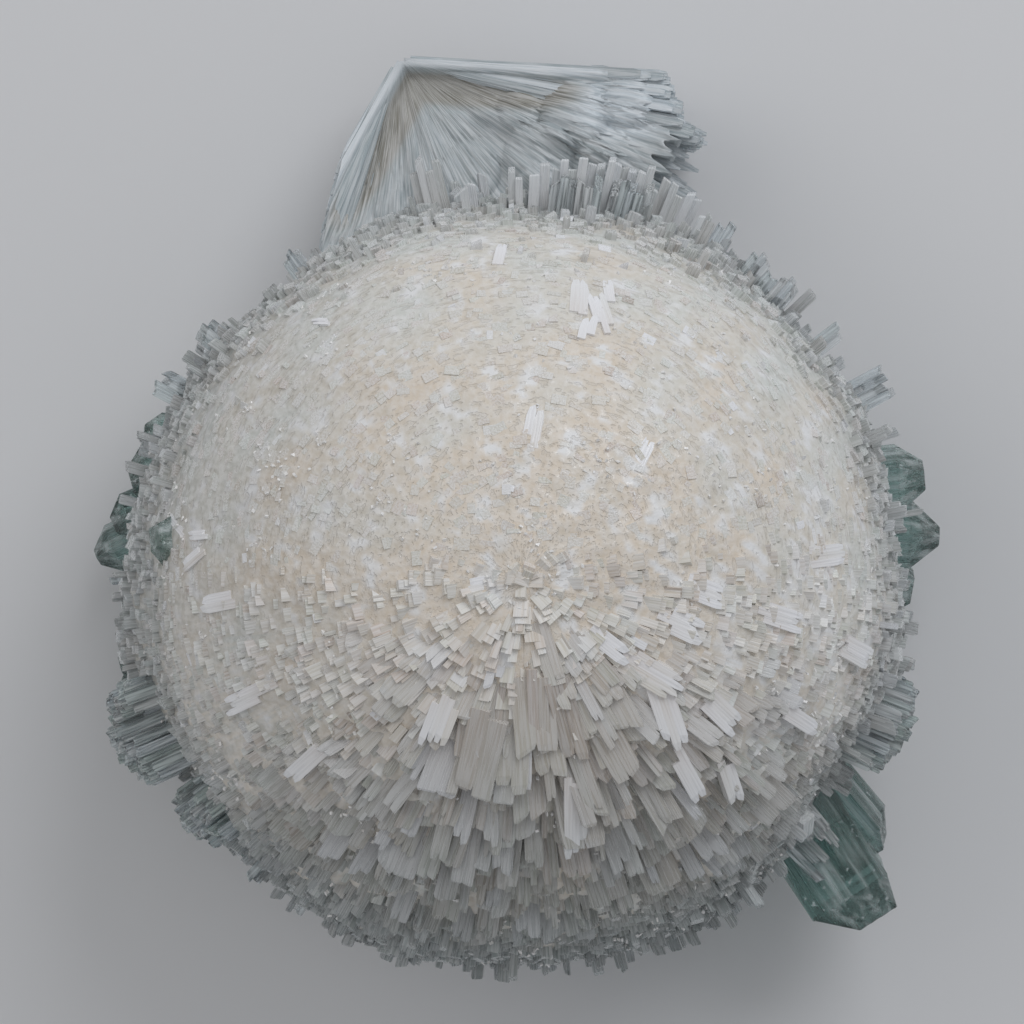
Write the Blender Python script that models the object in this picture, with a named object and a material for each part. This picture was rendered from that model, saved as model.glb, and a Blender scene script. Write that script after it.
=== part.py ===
"""A scolecite spray: a ball of radiating white prisms grown over pale green apophyllite.

The specimen rests on its broken back, which is cut flat at z = 0, with the dome of the ball up.
+X is to the right of the dome and +Y is towards the second, smaller spray behind its top edge.
The origin is on the cut, under the middle of the dome. The point that the ball's prisms radiate
from is BALL_CENTRE.
"""

import math
import random
from collections import namedtuple

import bmesh
import bpy
from mathutils import Matrix, Vector

MM = 0.001

# Driving dimensions of the ball, in millimetres
BALL_CENTRE = Vector((-0.8, -1.2, 22.0))
BALL_REACH = 38.3
REACH_TO_THE_LEFT = 0.7
REACH_TO_THE_FOOT = 1.0
CAP_ANGLE = 4.6
ROW_ANGLE = 9.0
LAST_ROW_END = 141.0
ROW_WAVES = ((3, 2.1, 0.16), (7, 4.4, 0.13))
PRISM_WIDTH = (4.6, 7.6)
LOOSENESS_AT_THE_TOP = 0.35
LOOSENESS_TO_THE_FOOT = 0.85
LOOSENESS_TO_THE_RIGHT = 0.1
UNEVEN_ENDS = (0.6, 1.5)
UNEVEN_LEAN = (0.06, 0.10)
CLOSEST_CORNERS = 1.1
SMALLEST_STEP = 0.25
BALL_ROOT_RADIUS = 29.0

# Driving dimensions of the second spray, whose prisms radiate from one corner
FAN_APEX = Vector((-13.4, 51.7, 9.6))
FAN_HOLLOW_RADIUS = 39.4

# Pieces that touch keep this gap, and everything below the cut is taken away
CONTACT_GAP = 0.3
CUT_DEPTH = 40.0
CUT_WIDTH = 160.0

# A crystal stands on foot and points to heading (degrees from +X towards +Y) and rise (degrees
# above level). point is the height of its pyramid over its width, blunt the share of its section
# left flat at the end, and skew moves that flat end sideways, as a share of the width.
Crystal = namedtuple(
    "Crystal", "foot heading rise width depth length twist point blunt skew"
)


def crystal(foot, heading, rise, width, depth, length, twist=0.0, point=0.3, blunt=0.4, skew=0.0):
    return Crystal(Vector(foot), heading, rise, width, depth, length, twist, point, blunt, skew)


def direction(heading, rise):
    flat = math.cos(math.radians(rise))
    return Vector((
        flat * math.cos(math.radians(heading)),
        flat * math.sin(math.radians(heading)),
        math.sin(math.radians(rise)),
    ))


def axes_along(axis, twist):
    """Columns across, over and along a crystal, so that a twist of 0 lays its depth upright."""
    axis = axis.normalized()
    helper = Vector((0, 0, 1)) if abs(axis.z) < 0.98 else Vector((0, 1, 0))
    across = helper.cross(axis).normalized()
    over = axis.cross(across)
    frame = Matrix((across, over, axis)).transposed()
    return frame @ Matrix.Rotation(math.radians(twist), 3, "Z")


def ring(bm, frame, origin, height, half_width, half_depth, tilt=(0.0, 0.0), shift=0.0):
    """Four corners across a crystal at this height, on a plane tilted by these slopes."""
    corners = []
    for x, y in ((-1, -1), (1, -1), (1, 1), (-1, 1)):
        local = Vector((x * half_width + shift, y * half_depth, 0.0))
        local.z = height + tilt[0] * local.x + tilt[1] * local.y
        corners.append(bm.verts.new((origin + frame @ local) * MM))
    return corners


def skin(bm, rings):
    """Closes a stack of four-cornered rings into one solid."""
    bm.faces.new(list(reversed(rings[0])))
    for lower, upper in zip(rings, rings[1:]):
        for i in range(4):
            j = (i + 1) % 4
            bm.faces.new((lower[i], lower[j], upper[j], upper[i]))
    bm.faces.new(rings[-1])


def add_prism(bm, foot, axis, length, width, depth, twist, foot_share=1.0, tilt=(0.0, 0.0)):
    """A square-ended prism, whose foot may be narrower and whose end may be tilted."""
    frame = axes_along(axis, twist)
    skin(bm, [
        ring(bm, frame, foot, 0.0, width / 2 * foot_share, depth / 2 * foot_share),
        ring(bm, frame, foot, length, width / 2, depth / 2, tilt),
    ])


def add_crystal(bm, shape, grow=0.0):
    """A square prism under a blunt four-sided pyramid. grow makes it fatter all round."""
    frame = axes_along(direction(shape.heading, shape.rise), shape.twist)
    half_width, half_depth = shape.width / 2 + grow, shape.depth / 2 + grow
    shoulder = shape.length - shape.point * shape.width
    shift = shape.skew * shape.width
    skin(bm, [
        ring(bm, frame, shape.foot, -grow, half_width, half_depth),
        ring(bm, frame, shape.foot, shoulder + grow / 2, half_width, half_depth),
        ring(bm, frame, shape.foot, shape.length + grow,
             half_width * shape.blunt, half_depth * shape.blunt, shift=shift),
    ])


def new_object(name, bm, place, material=None):
    """One object whose own origin is at place, in millimetres, with its mesh around it."""
    bm.normal_update()
    bmesh.ops.translate(bm, verts=bm.verts, vec=-place * MM)
    mesh = bpy.data.meshes.new(name)
    bm.to_mesh(mesh)
    bm.free()
    obj = bpy.data.objects.new(name, mesh)
    obj.location = place * MM
    bpy.context.scene.collection.objects.link(obj)
    if material:
        mesh.materials.append(material)
    return obj


def as_guide(obj):
    obj.hide_render = True
    obj.display_type = "WIRE"
    return obj


def boolean(obj, name, operation, other, with_itself=False):
    modifier = obj.modifiers.new(name, "BOOLEAN")
    modifier.operation = operation
    modifier.solver = "EXACT"
    modifier.object = other
    modifier.use_self = with_itself


def principled(name, colour, roughness, transmission=0.0):
    material = bpy.data.materials.new(name)
    material.use_nodes = True
    shader = material.node_tree.nodes["Principled BSDF"]
    shader.inputs["Base Color"].default_value = (*colour, 1.0)
    shader.inputs["Roughness"].default_value = roughness
    shader.inputs["Metallic"].default_value = 0.0
    shader.inputs["Transmission Weight"].default_value = transmission
    return material


class Cell:
    """The flat end of one prism: a plane through top, seen from the point they radiate from."""

    def __init__(self, top, normal):
        self.top = top
        self.normal = normal

    def radius_at(self, way):
        """Distance from the centre to the flat end along this way."""
        return self.top.dot(self.normal) / way.dot(self.normal)


class Hollow:
    """The side where no prisms grow, closed off at one small radius."""

    def __init__(self, radius):
        self.radius = radius

    def radius_at(self, way):
        return self.radius


class Corner:
    """Where prisms meet along one way out: a mesh point at the end of each of them."""

    def __init__(self, way, turn=0.0):
        self.way = way
        self.turn = turn
        self.cells = []

    def lift(self, bm, centre):
        """Makes the points, with their radii moved apart so that no step is a sliver."""
        self.radii = {}
        last = 0.0
        for cell in sorted(self.cells, key=lambda c: c.radius_at(self.way)):
            last = max(cell.radius_at(self.way), last + SMALLEST_STEP)
            self.radii[cell] = last
        self.points = {
            cell: bm.verts.new((centre + self.way * radius) * MM)
            for cell, radius in self.radii.items()
        }

    def between(self, one, other):
        """The third prism's point, if its end lies between those of these two."""
        low, high = sorted((self.radii[one], self.radii[other]))
        return [self.points[c] for c in self.cells if low < self.radii[c] < high]


def crossing(first, second, left, right):
    """Where the ends of two neighbours cross along their shared wall, or None."""
    step_1 = first.radii[right] - first.radii[left]
    step_2 = second.radii[right] - second.radii[left]
    if step_1 * step_2 > 0:
        return None
    weight_1 = abs(step_1) * second.radii[right]
    weight_2 = abs(step_2) * first.radii[right]
    start = first.way * first.radii[left]
    return start.lerp(second.way * second.radii[left], weight_1 / (weight_1 + weight_2))


def add_wall(bm, centre, first, second, left, right, crossings):
    """The wall between two neighbours, left of and right of the way from first to second."""
    meeting = crossing(first, second, left, right)
    if meeting is None:
        bm.faces.new(
            [second.points[left], first.points[left]] + first.between(left, right)
            + [first.points[right], second.points[right]] + second.between(left, right)
        )
        return
    point = bm.verts.new((centre + meeting) * MM)
    crossings[first, second] = point
    crossings[second, first] = point
    bm.faces.new([point, first.points[left]] + first.between(left, right)
                 + [first.points[right]])
    bm.faces.new([second.points[left], point, second.points[right]]
                 + second.between(left, right))


def stepped_solid(centre, loops):
    """Prisms packed wall to wall round a centre, as one closed solid stepped at its surface.

    Each loop is a cell with its corners, counter-clockwise as seen from outside.
    """
    bm = bmesh.new()
    owner = {}
    for cell, loop in loops:
        for corner, following in zip(loop, loop[1:] + loop[:1]):
            corner.cells.append(cell)
            owner[corner, following] = cell
    for _, loop in loops:
        for corner in loop:
            if not hasattr(corner, "points"):
                corner.lift(bm, centre)
    crossings = {}
    walled = set()
    for (first, second), left in owner.items():
        if (second, first) not in walled:
            walled.add((first, second))
            add_wall(bm, centre, first, second, left, owner[second, first], crossings)
    for cell, loop in loops:
        outline = []
        for corner, following in zip(loop, loop[1:] + loop[:1]):
            outline.append(corner.points[cell])
            if (corner, following) in crossings:
                outline.append(crossings[corner, following])
        bm.faces.new(outline)
    return bm


def growth(axis):
    """How far the prisms stand apart in this direction: 0 on the smooth top, 1 at the foot."""
    loose = LOOSENESS_AT_THE_TOP - LOOSENESS_TO_THE_FOOT * axis.y + LOOSENESS_TO_THE_RIGHT * axis.x
    return min(1.0, max(0.0, loose))


def ball_cell(axis, chance):
    loose = growth(axis)
    reach = BALL_REACH - REACH_TO_THE_LEFT * axis.x - REACH_TO_THE_FOOT * axis.y
    reach += chance.uniform(-1.0, 1.0) * (UNEVEN_ENDS[0] + UNEVEN_ENDS[1] * loose)
    lean = Vector([chance.uniform(-1.0, 1.0) for _ in range(3)])
    lean *= UNEVEN_LEAN[0] + UNEVEN_LEAN[1] * loose
    return Cell(axis * reach, (axis + lean).normalized())


def unit(angle, turn):
    """Unit vector at this angle from the dome's top, turned round it."""
    return Vector((math.sin(angle) * math.cos(turn), math.sin(angle) * math.sin(turn),
                   math.cos(angle)))


def row_edge(row, turn):
    """Angle from the top where this row of prisms ends, a little wavy round the ball."""
    angle = CAP_ANGLE + ROW_ANGLE * row
    wave = sum(size * math.sin(times * turn + shift * row) for times, shift, size in ROW_WAVES)
    return math.radians(angle + ROW_ANGLE * wave)


def row_walls(row, inner_walls, chance):
    """Turns of the walls between the prisms of one row, kept off those of the row inside it."""
    middle = math.radians(CAP_ANGLE + ROW_ANGLE * (row - 0.5))
    girth = 2 * math.pi * BALL_REACH * math.sin(middle)
    widths = []
    while sum(widths) < girth - 0.5 * PRISM_WIDTH[0]:
        widths.append(chance.uniform(*PRISM_WIDTH))
    full = 2 * math.pi / sum(widths)
    turn = chance.uniform(0.0, 2 * math.pi)
    closest = CLOSEST_CORNERS / (BALL_REACH * math.sin(middle))
    walls = []
    for width in widths:
        near = [w for w in inner_walls if abs(math.remainder(turn - w, 2 * math.pi)) < closest]
        walls.append((near[0] + closest if near else turn) % (2 * math.pi))
        turn += width * full
    return sorted(walls)


def turn_span(corners, start, end):
    """Corners from one turn round to another, both included."""
    span = (end - start) % (2 * math.pi) or 2 * math.pi

    def past_start(corner):
        return (corner.turn - start + 1e-9) % (2 * math.pi)

    return sorted((c for c in corners if past_start(c) <= span + 2e-9), key=past_start)


def ball_mass():
    """The close-packed prisms of the ball, in rows round the dome's top."""
    chance = random.Random(23)
    rows = int((LAST_ROW_END - CAP_ANGLE) / ROW_ANGLE)
    walls = [[]]
    for row in range(1, rows + 1):
        walls.append(row_walls(row, walls[-1], chance))
    walls.append([])
    edges = []
    for row in range(rows + 1):
        turns = sorted(walls[row] + walls[row + 1])
        edges.append([Corner(unit(row_edge(row, turn), turn), turn) for turn in turns])

    top, bottom = Vector((0, 0, 1)), Vector((0, 0, -1))
    loops = [
        (ball_cell(top, chance), edges[0]),
        (ball_cell(bottom, chance), edges[-1][::-1]),
    ]
    for row in range(1, rows + 1):
        middle = math.radians(CAP_ANGLE + ROW_ANGLE * (row - 0.5))
        for start, end in zip(walls[row], walls[row][1:] + walls[row][:1]):
            half = ((end - start) % (2 * math.pi)) / 2
            cell = ball_cell(unit(middle, start + half), chance)
            outer = turn_span(edges[row], start, end)
            inner = turn_span(edges[row - 1], start, end)
            loops.append((cell, outer + inner[::-1]))
    return stepped_solid(BALL_CENTRE, loops)


# Single prisms that stand clear of the ball's outline: heading, rise, reach, width and depth
STANDING_PRISMS = (
    (-44.5, -5.0, 43.4, 2.8, 3.6),
    (228.0, -6.0, 41.6, 2.6, 3.0),
    (235.0, -4.0, 41.4, 3.2, 2.6),
    (248.0, -9.0, 41.6, 3.6, 3.0),
    (268.0, -14.0, 41.2, 4.0, 3.0),
    (283.0, -8.0, 40.6, 3.6, 3.4),
    (59.5, 2.0, 40.8, 1.8, 3.2),
    (50.0, 4.0, 40.2, 6.0, 3.2),
    (37.5, -3.0, 40.6, 1.9, 3.0),
    (28.0, 3.0, 41.2, 3.4, 4.2),
    (126.0, 5.0, 40.4, 2.2, 3.0),
    (143.0, 4.0, 40.3, 3.6, 3.4),
    (152.0, 2.0, 41.8, 3.0, 3.6),
    (182.0, 0.0, 41.0, 2.2, 3.2),
    (190.0, -3.0, 40.8, 3.4, 3.0),
    (82.0, 12.0, 42.0, 5.0, 3.6),
    (74.0, 10.0, 42.4, 4.0, 3.2),
)

# Longer prisms scattered over the foot side, where the ball is loosest
LOOSE_PRISMS = 34
LOOSE_HEADINGS = (-165.0, -12.0)
LOOSE_RISES = (-20.0, 62.0)
LOOSE_REACH = (39.8, 42.0)
LOOSE_WIDTH = (2.4, 4.4)
LOOSE_DEPTH = (2.2, 3.6)
LOOSE_TWIST = 25.0
LOOSE_END_SLOPES = ((-0.3, 0.3), (-0.5, 0.1))

# Bundles of clear prisms at the rim: heading, rise, reach, spread in degrees and count
CLEAR_BUNDLES = (
    (201.5, -6.0, 44.0, 5.5, 9),
    (-23.0, -9.0, 42.4, 5.0, 8),
)
BUNDLE_WIDTH = (3.2, 4.2)
BUNDLE_DEPTH = (3.0, 3.8)
BUNDLE_UNEVEN_ENDS = 3.0
BUNDLE_SPACING = (0.7, 0.75)


def standing_prisms(bm):
    for heading, rise, reach, width, depth in STANDING_PRISMS:
        axis = direction(heading, rise)
        add_prism(
            bm, BALL_CENTRE + axis * BALL_ROOT_RADIUS, axis,
            reach - BALL_ROOT_RADIUS, width, depth, 0.0, foot_share=0.9,
        )


def loose_prisms(bm):
    chance = random.Random(31)
    for i in range(LOOSE_PRISMS):
        heading = LOOSE_HEADINGS[0] + (i + 0.5) / LOOSE_PRISMS * (
            LOOSE_HEADINGS[1] - LOOSE_HEADINGS[0]) + chance.uniform(-3.0, 3.0)
        rise = LOOSE_RISES[0] + ((i * 0.382) % 1.0) * (LOOSE_RISES[1] - LOOSE_RISES[0])
        axis = direction(heading, rise)
        add_prism(
            bm, BALL_CENTRE + axis * BALL_ROOT_RADIUS, axis,
            chance.uniform(*LOOSE_REACH) - BALL_ROOT_RADIUS, chance.uniform(*LOOSE_WIDTH),
            chance.uniform(*LOOSE_DEPTH), chance.uniform(-LOOSE_TWIST, LOOSE_TWIST), foot_share=0.9,
            tilt=[chance.uniform(*slopes) for slopes in LOOSE_END_SLOPES],
        )


def clear_bundles(bm):
    """Near-parallel prisms packed side by side, longest in the middle of the bundle."""
    chance = random.Random(5)
    for heading, rise, reach, spread, count in CLEAR_BUNDLES:
        axis = direction(heading, rise)
        for i in range(count):
            side = ((i % 3) - 1) * spread * BUNDLE_SPACING[0]
            height = (i // 3 - 1) * spread * BUNDLE_SPACING[1]
            foot = BALL_CENTRE + direction(heading + side, rise + height) * BALL_ROOT_RADIUS
            add_prism(
                bm, foot, axis, reach - BALL_ROOT_RADIUS - chance.uniform(0.0, BUNDLE_UNEVEN_ENDS),
                chance.uniform(*BUNDLE_WIDTH), chance.uniform(*BUNDLE_DEPTH), 6.0 * i,
            )


def floor_cutter():
    """Takes away what is below the flat cut that the specimen rests on."""
    bm = bmesh.new()
    size = Matrix.Diagonal((CUT_WIDTH * MM, CUT_WIDTH * MM, CUT_DEPTH * MM, 1.0))
    bmesh.ops.create_cube(bm, size=1.0, matrix=size)
    for vert in bm.verts:
        vert.co.z -= CUT_DEPTH / 2 * MM
    return as_guide(new_object("below_the_cut", bm, Vector((0, 0, 0))))


# The second spray's reach at these headings, from its top edge round to its left edge
FAN_REACH = (
    (-4.0, 26.8), (-6.5, 28.4), (-10.0, 30.0), (-13.0, 30.2), (-14.5, 34.2), (-18.0, 33.2),
    (-20.0, 34.0), (-23.0, 32.4), (-25.0, 34.6), (-29.0, 33.6), (-36.0, 33.0), (-60.0, 26.0),
    (-90.0, 24.0), (-110.0, 23.0), (-113.4, 18.2), (-116.4, 13.8), (-118.4, 12.4),
)
FAN_BLADE_ANGLE = (3.6, 6.4)
FAN_BAND_RISES = (-15.0, -4.0, 5.0, 13.0)
FAN_ROOT_RADIUS = 2.6
FAN_CLOSEST_WALLS = 0.9
FAN_END_MARGIN = 2.0
FAN_UNEVEN_ENDS = 1.6
FAN_END_LEAN = 0.22


def fan_reach(heading):
    for (turn_1, reach_1), (turn_2, reach_2) in zip(FAN_REACH, FAN_REACH[1:]):
        if heading >= turn_2:
            share = (turn_1 - heading) / (turn_1 - turn_2)
            return reach_1 + (reach_2 - reach_1) * min(1.0, max(0.0, share))
    return FAN_REACH[-1][1]


def fan_walls(inner_walls, chance):
    """Headings of the walls between the blades of one band, from left edge to top edge."""
    first, last = FAN_REACH[-1][0], FAN_REACH[0][0]
    walls = []
    heading = first + chance.uniform(*FAN_BLADE_ANGLE)
    while heading < last - FAN_BLADE_ANGLE[0] / 2:
        near = [w for w in inner_walls if abs(heading - w) < FAN_CLOSEST_WALLS]
        walls.append(near[0] + FAN_CLOSEST_WALLS if near else heading)
        heading += chance.uniform(*FAN_BLADE_ANGLE) * (0.6 if heading > -40.0 else 1.3)
    return [first] + walls + [last]


def reach_of_ball(way):
    """How far the hollow that holds the ball is from the fan's corner along this way."""
    offset = BALL_CENTRE - FAN_APEX
    along = offset.dot(way)
    inside = FAN_HOLLOW_RADIUS ** 2 - offset.length_squared + along ** 2
    return along - math.sqrt(inside) if inside > 0 and along > 0 else math.inf


class BallSide:
    """The hidden end of a blade, laid against the hollow that holds the ball."""

    def __init__(self, reach):
        self.reach = reach

    def radius_at(self, way):
        return min(self.reach, reach_of_ball(way))


def fan_cell(ways, reach, lean):
    """A blade's end, free if it stops short of the ball, and else laid against it."""
    if min(reach_of_ball(way) for way in ways) > reach + FAN_END_MARGIN:
        return Cell(ways[0] * reach, (ways[0] + lean).normalized())
    return BallSide(reach)


def fan_mass():
    """Blades fanning out from one corner in three bands, one over another."""
    chance = random.Random(8)
    bands = []
    for _ in FAN_BAND_RISES[1:]:
        bands.append(fan_walls(bands[-1] if bands else [], chance))
    edges = []
    for i, rise in enumerate(FAN_BAND_RISES):
        headings = set(bands[max(0, i - 1)]) | set(bands[min(i, len(bands) - 1)])
        edges.append([Corner(direction(h, rise), h) for h in sorted(headings)])

    loops = []
    for i, band in enumerate(bands):
        low, high = FAN_BAND_RISES[i:i + 2]
        for start, end in zip(band, band[1:]):
            middle = (start + end) / 2
            lower = [c for c in edges[i] if start <= c.turn <= end]
            upper = [c for c in edges[i + 1] if start <= c.turn <= end]
            axis = direction(middle, (low + high) / 2)
            reach = fan_reach(middle) - chance.uniform(0.0, FAN_UNEVEN_ENDS) * (i != 1)
            ways = [axis] + [corner.way for corner in lower + upper]
            lean = Vector([chance.uniform(-FAN_END_LEAN, FAN_END_LEAN) for _ in range(3)])
            loops.append((fan_cell(ways, reach, lean), lower + upper[::-1]))
    left_side = [edge[0] for edge in edges[1:-1]]
    right_side = [edge[-1] for edge in edges[1:-1]]
    around = edges[0][::-1] + left_side + edges[-1] + right_side[::-1]
    loops.append((Hollow(FAN_ROOT_RADIUS), around))
    return stepped_solid(FAN_APEX, loops)


SCOLECITE_COLOUR = (0.80, 0.77, 0.71)
APOPHYLLITE_COLOUR = (0.42, 0.60, 0.54)

# Apophyllite, each entry one node of crystals grown together
APOPHYLLITE = {
    "apophyllite_point": (
        crystal((22.4, -18.4, 15.6), -56.5, -3.0, 9.2, 8.6, 22.0, 4.0, 0.42, 0.45, 0.12),
        crystal((24.2, -17.6, 11.0), -50.0, -8.0, 8.0, 6.4, 17.0, 20.0, 0.3, 0.55),
    ),
    "apophyllite_green_end": (
        crystal((-21.0, -17.6, 13.0), 216.0, -6.0, 6.4, 7.0, 15.0, 8.0, 0.2, 0.7),
        crystal((-19.4, -20.0, 10.6), 221.0, -4.0, 6.2, 6.4, 14.4, -12.0, 0.2, 0.65),
        crystal((-21.6, -16.6, 9.0), 214.0, -8.0, 7.0, 7.6, 14.6, 20.0, 0.3, 0.5),
    ),
    "apophyllite_left_wing": (
        crystal((-32.5, 10.6, 9.0), 196.0, 4.0, 5.4, 5.0, 9.0, 30.0, 0.4, 0.4),
        crystal((-33.0, 7.8, 7.0), 203.0, 2.0, 4.8, 5.2, 11.0, 12.0, 0.4, 0.35),
        crystal((-34.0, 5.4, 6.0), 205.0, -2.0, 3.6, 4.4, 12.2, 40.0, 0.6, 0.3),
        crystal((-33.0, 12.6, 11.5), 176.0, 8.0, 4.0, 4.0, 6.6, 10.0, 0.4, 0.4),
    ),
    "apophyllite_left_pyramid": (
        crystal((-34.6, -3.6, 13.0), 219.0, 0.0, 4.6, 4.6, 8.2, 45.0, 0.9, 0.12),
    ),
    "apophyllite_left_beads": (
        crystal((-34.0, -8.6, 5.0), 197.0, 3.0, 4.2, 4.4, 9.0, 20.0, 0.4, 0.4),
        crystal((-33.0, -11.0, 5.0), 199.0, -3.0, 5.0, 5.0, 10.0, 35.0, 0.4, 0.35),
        crystal((-31.0, -14.6, 5.6), 208.0, -4.0, 6.4, 5.6, 10.4, 15.0, 0.3, 0.5),
    ),
    "apophyllite_foot": (
        crystal((9.6, -28.0, 8.0), 283.0, -4.0, 6.2, 6.0, 11.2, 6.0, 0.25, 0.6),
        crystal((14.6, -26.6, 9.0), 294.0, -2.0, 5.2, 5.6, 10.6, 30.0, 0.3, 0.5),
        crystal((18.4, -25.0, 8.0), 303.0, -4.0, 4.6, 5.0, 9.6, 12.0, 0.3, 0.5),
    ),
    "apophyllite_right_wing": (
        crystal((33.0, 8.0, 11.0), 6.0, 4.0, 5.4, 5.0, 7.6, 32.0, 0.5, 0.4),
        crystal((32.6, 3.0, 8.6), -3.0, 3.0, 5.0, 5.4, 9.8, 45.0, 0.6, 0.25),
        crystal((31.6, -1.6, 7.4), -8.0, 0.0, 5.4, 5.0, 8.2, 20.0, 0.4, 0.5),
    ),
    "apophyllite_inset": (
        crystal((-27.0, 1.4, 34.0), 172.0, 38.0, 4.4, 3.6, 11.2, 24.0, 0.4, 0.5),
    ),
}


def cluster(name, crystals, grow=0.0, material=None):
    """Crystals grown together, joined into the first one."""
    first = crystals[0]
    bm = bmesh.new()
    add_crystal(bm, first, grow)
    obj = new_object(name, bm, first.foot, material)
    for i, shape in enumerate(crystals[1:], 2):
        bm = bmesh.new()
        add_crystal(bm, shape, grow)
        other = as_guide(new_object(f"{name}_guide_{i}", bm, shape.foot))
        boolean(obj, f"join {i}", "UNION", other)
    return obj


def standing_guide():
    bm = bmesh.new()
    standing_prisms(bm)
    loose_prisms(bm)
    clear_bundles(bm)
    return as_guide(new_object("standing_prisms_guide", bm, BALL_CENTRE))


def build():
    for obj in list(bpy.data.objects):
        bpy.data.objects.remove(obj, do_unlink=True)
    scolecite = principled("scolecite", SCOLECITE_COLOUR, 0.38, 0.1)
    apophyllite = principled("apophyllite", APOPHYLLITE_COLOUR, 0.12, 0.8)

    specimen = bpy.data.objects.new("specimen", None)
    bpy.context.scene.collection.objects.link(specimen)
    floor = floor_cutter()

    ball = new_object("scolecite_ball", ball_mass(), BALL_CENTRE, scolecite)
    boolean(ball, "join standing prisms", "UNION", standing_guide(), with_itself=True)
    boolean(ball, "flat cut", "DIFFERENCE", floor)

    fan = new_object("scolecite_fan", fan_mass(), FAN_APEX, scolecite)

    pieces = [ball, fan]
    for name, crystals in APOPHYLLITE.items():
        green = cluster(name, crystals, 0.0, apophyllite)
        pocket = as_guide(cluster(name + "_pocket", crystals, CONTACT_GAP))
        boolean(ball, f"room for {name}", "DIFFERENCE", pocket)
        boolean(green, "flat cut", "DIFFERENCE", floor)
        pieces.append(green)
    for piece in pieces:
        piece.parent = specimen


build()
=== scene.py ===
"""Looks of the scolecite spray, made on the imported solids."""

import math

import bpy
import numpy as np
from numpy.random import default_rng
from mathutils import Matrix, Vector


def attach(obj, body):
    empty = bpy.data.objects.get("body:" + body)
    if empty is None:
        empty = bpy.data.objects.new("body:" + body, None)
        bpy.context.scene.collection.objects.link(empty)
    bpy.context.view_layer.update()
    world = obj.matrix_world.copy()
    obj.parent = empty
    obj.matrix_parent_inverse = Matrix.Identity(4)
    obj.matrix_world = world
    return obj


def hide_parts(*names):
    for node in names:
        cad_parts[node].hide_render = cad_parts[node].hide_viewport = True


MM = 0.001

# The ball, in millimetres and degrees, as its solid has it
BALL_CENTRE = np.array([-0.8, -1.2, 22])
BALL_REACH = 38.3
REACH_TO_THE_LEFT = 0.7
REACH_TO_THE_FOOT = 1
UNEVEN_OUTLINE = 0.7
CORE_SPREAD = 134
CORE_DROP_ON_TOP = 0.2
CORE_DROP_AT_RIM = 0.5
FLOOR_GAP = 0.12
LOWEST_TIP = 0.25
SHORTEST_PRISM = 0.6

# Its prisms. Shingles, short ends and chip clusters are counted as for a whole sphere
SHINGLES = 4200
SHINGLE_LEAN = 80
SHINGLE_RELIEF = 2
SHINGLE_WIDTH = 0.85
SHORT_ENDS = 18000
SHORT_END_LENGTH = 1.6
RIM_PRISMS = 3000
RIM_RISES = (-18, 46)
RIM_PRISM_LENGTH = 4.6
RIM_PRISMS_END_AT = 40.8
PLATE_PART_WIDTH = 0.7
STANDING_PART_WIDTH = 0.8
STANDING_FROM = 31
UPRIGHT_DEPTH = 1.8
BUNDLES_FROM = 33
CHIP_CLUSTERS = 260
CHIPS_IN_A_CLUSTER = 9
GOLDEN_ANGLE = math.pi * (3 - math.sqrt(5))

# The second spray: its corner, its limits in degrees and its length at each heading
FAN_APEX = np.array([-13.4, 51.7, 9.6])
FAN_HEADINGS = (-118.4, -4.6)
FAN_RISES = (-13, 10.5)
FAN_REACH_AT = (-118.5, -118, -116.4, -113.4, -110, -60, -36, -29, -25, -23, -20, -18, -14.5, -13,
                -10, -6.5, -4)
FAN_REACH = (12.2, 12.4, 13.7, 18, 23, 26, 32, 31.6, 31.4, 31, 31.2, 31, 31, 28.6, 28.4, 27, 26.6)
FAN_MEETS_BALL_AT = 38
FAN_HALF_THICKNESS = 1.5
FAN_BLADES = 700
BLADES_FROM = 6
FAN_WALL_FIBRES = 520
WALL_FIBRES_FROM = 1.2
FINGERS_FROM = 20
FINGER_RISES = (-7, 0, 7)

# Rounded lumps on its upper face: heading, distance from the apex, radius and height
FAN_LUMPS = (
    (-36, 17.8, 3.6, 1.8), (-29, 23, 2.2, 1.5), (-58, 14, 3, 1.1), (-78, 15, 2.4, 1),
    (-19, 19, 3.4, 1.2), (-12, 24, 2.6, 1.3), (-92, 16, 2, 0.9), (-47, 20, 2.6, 1.2),
    (-24, 13.5, 2.2, 0.9), (-68, 18, 2, 1),
)

# Its pointed ends: heading, reach and width
FAN_FINGERS = (
    (-4.9, 27.4, 1.5), (-6.9, 27.9, 1.3), (-9.1, 29.8, 1.5), (-11.6, 30.2, 1.2), (-14.6, 34, 1.6),
    (-16.8, 32, 1.2), (-19.4, 33.4, 1.5), (-21.8, 32.4, 1.2), (-24.7, 34.4, 1.4),
    (-27.4, 33, 1.3),
)

# Single prisms that stand clear of the outline: heading, rise, reach, width and depth
STANDING_PRISMS = (
    (-44.5, -5, 43.4, 2.8, 3.6), (228, -6, 41.6, 2.6, 3), (235, -4, 41.4, 3.2, 2.6),
    (248, -9, 41.6, 3.6, 3), (268, -14, 41.2, 4, 3), (283, -8, 40.6, 3.6, 3.4),
    (59.5, 2, 40.8, 1.8, 3.2), (50, 4, 40.2, 6, 3.2), (37.5, -3, 40.6, 1.9, 3),
    (28, 3, 41.2, 3.4, 4.2), (126, 5, 40.4, 2.2, 3), (143, 4, 40.3, 3.6, 3.4),
    (152, 2, 41.8, 3, 3.6), (182, 0, 41, 2.2, 3.2), (190, -3, 40.8, 3.4, 3),
    (82, 12, 40.6, 5, 3.6), (74, 10, 41, 4, 3.2),
)

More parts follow.
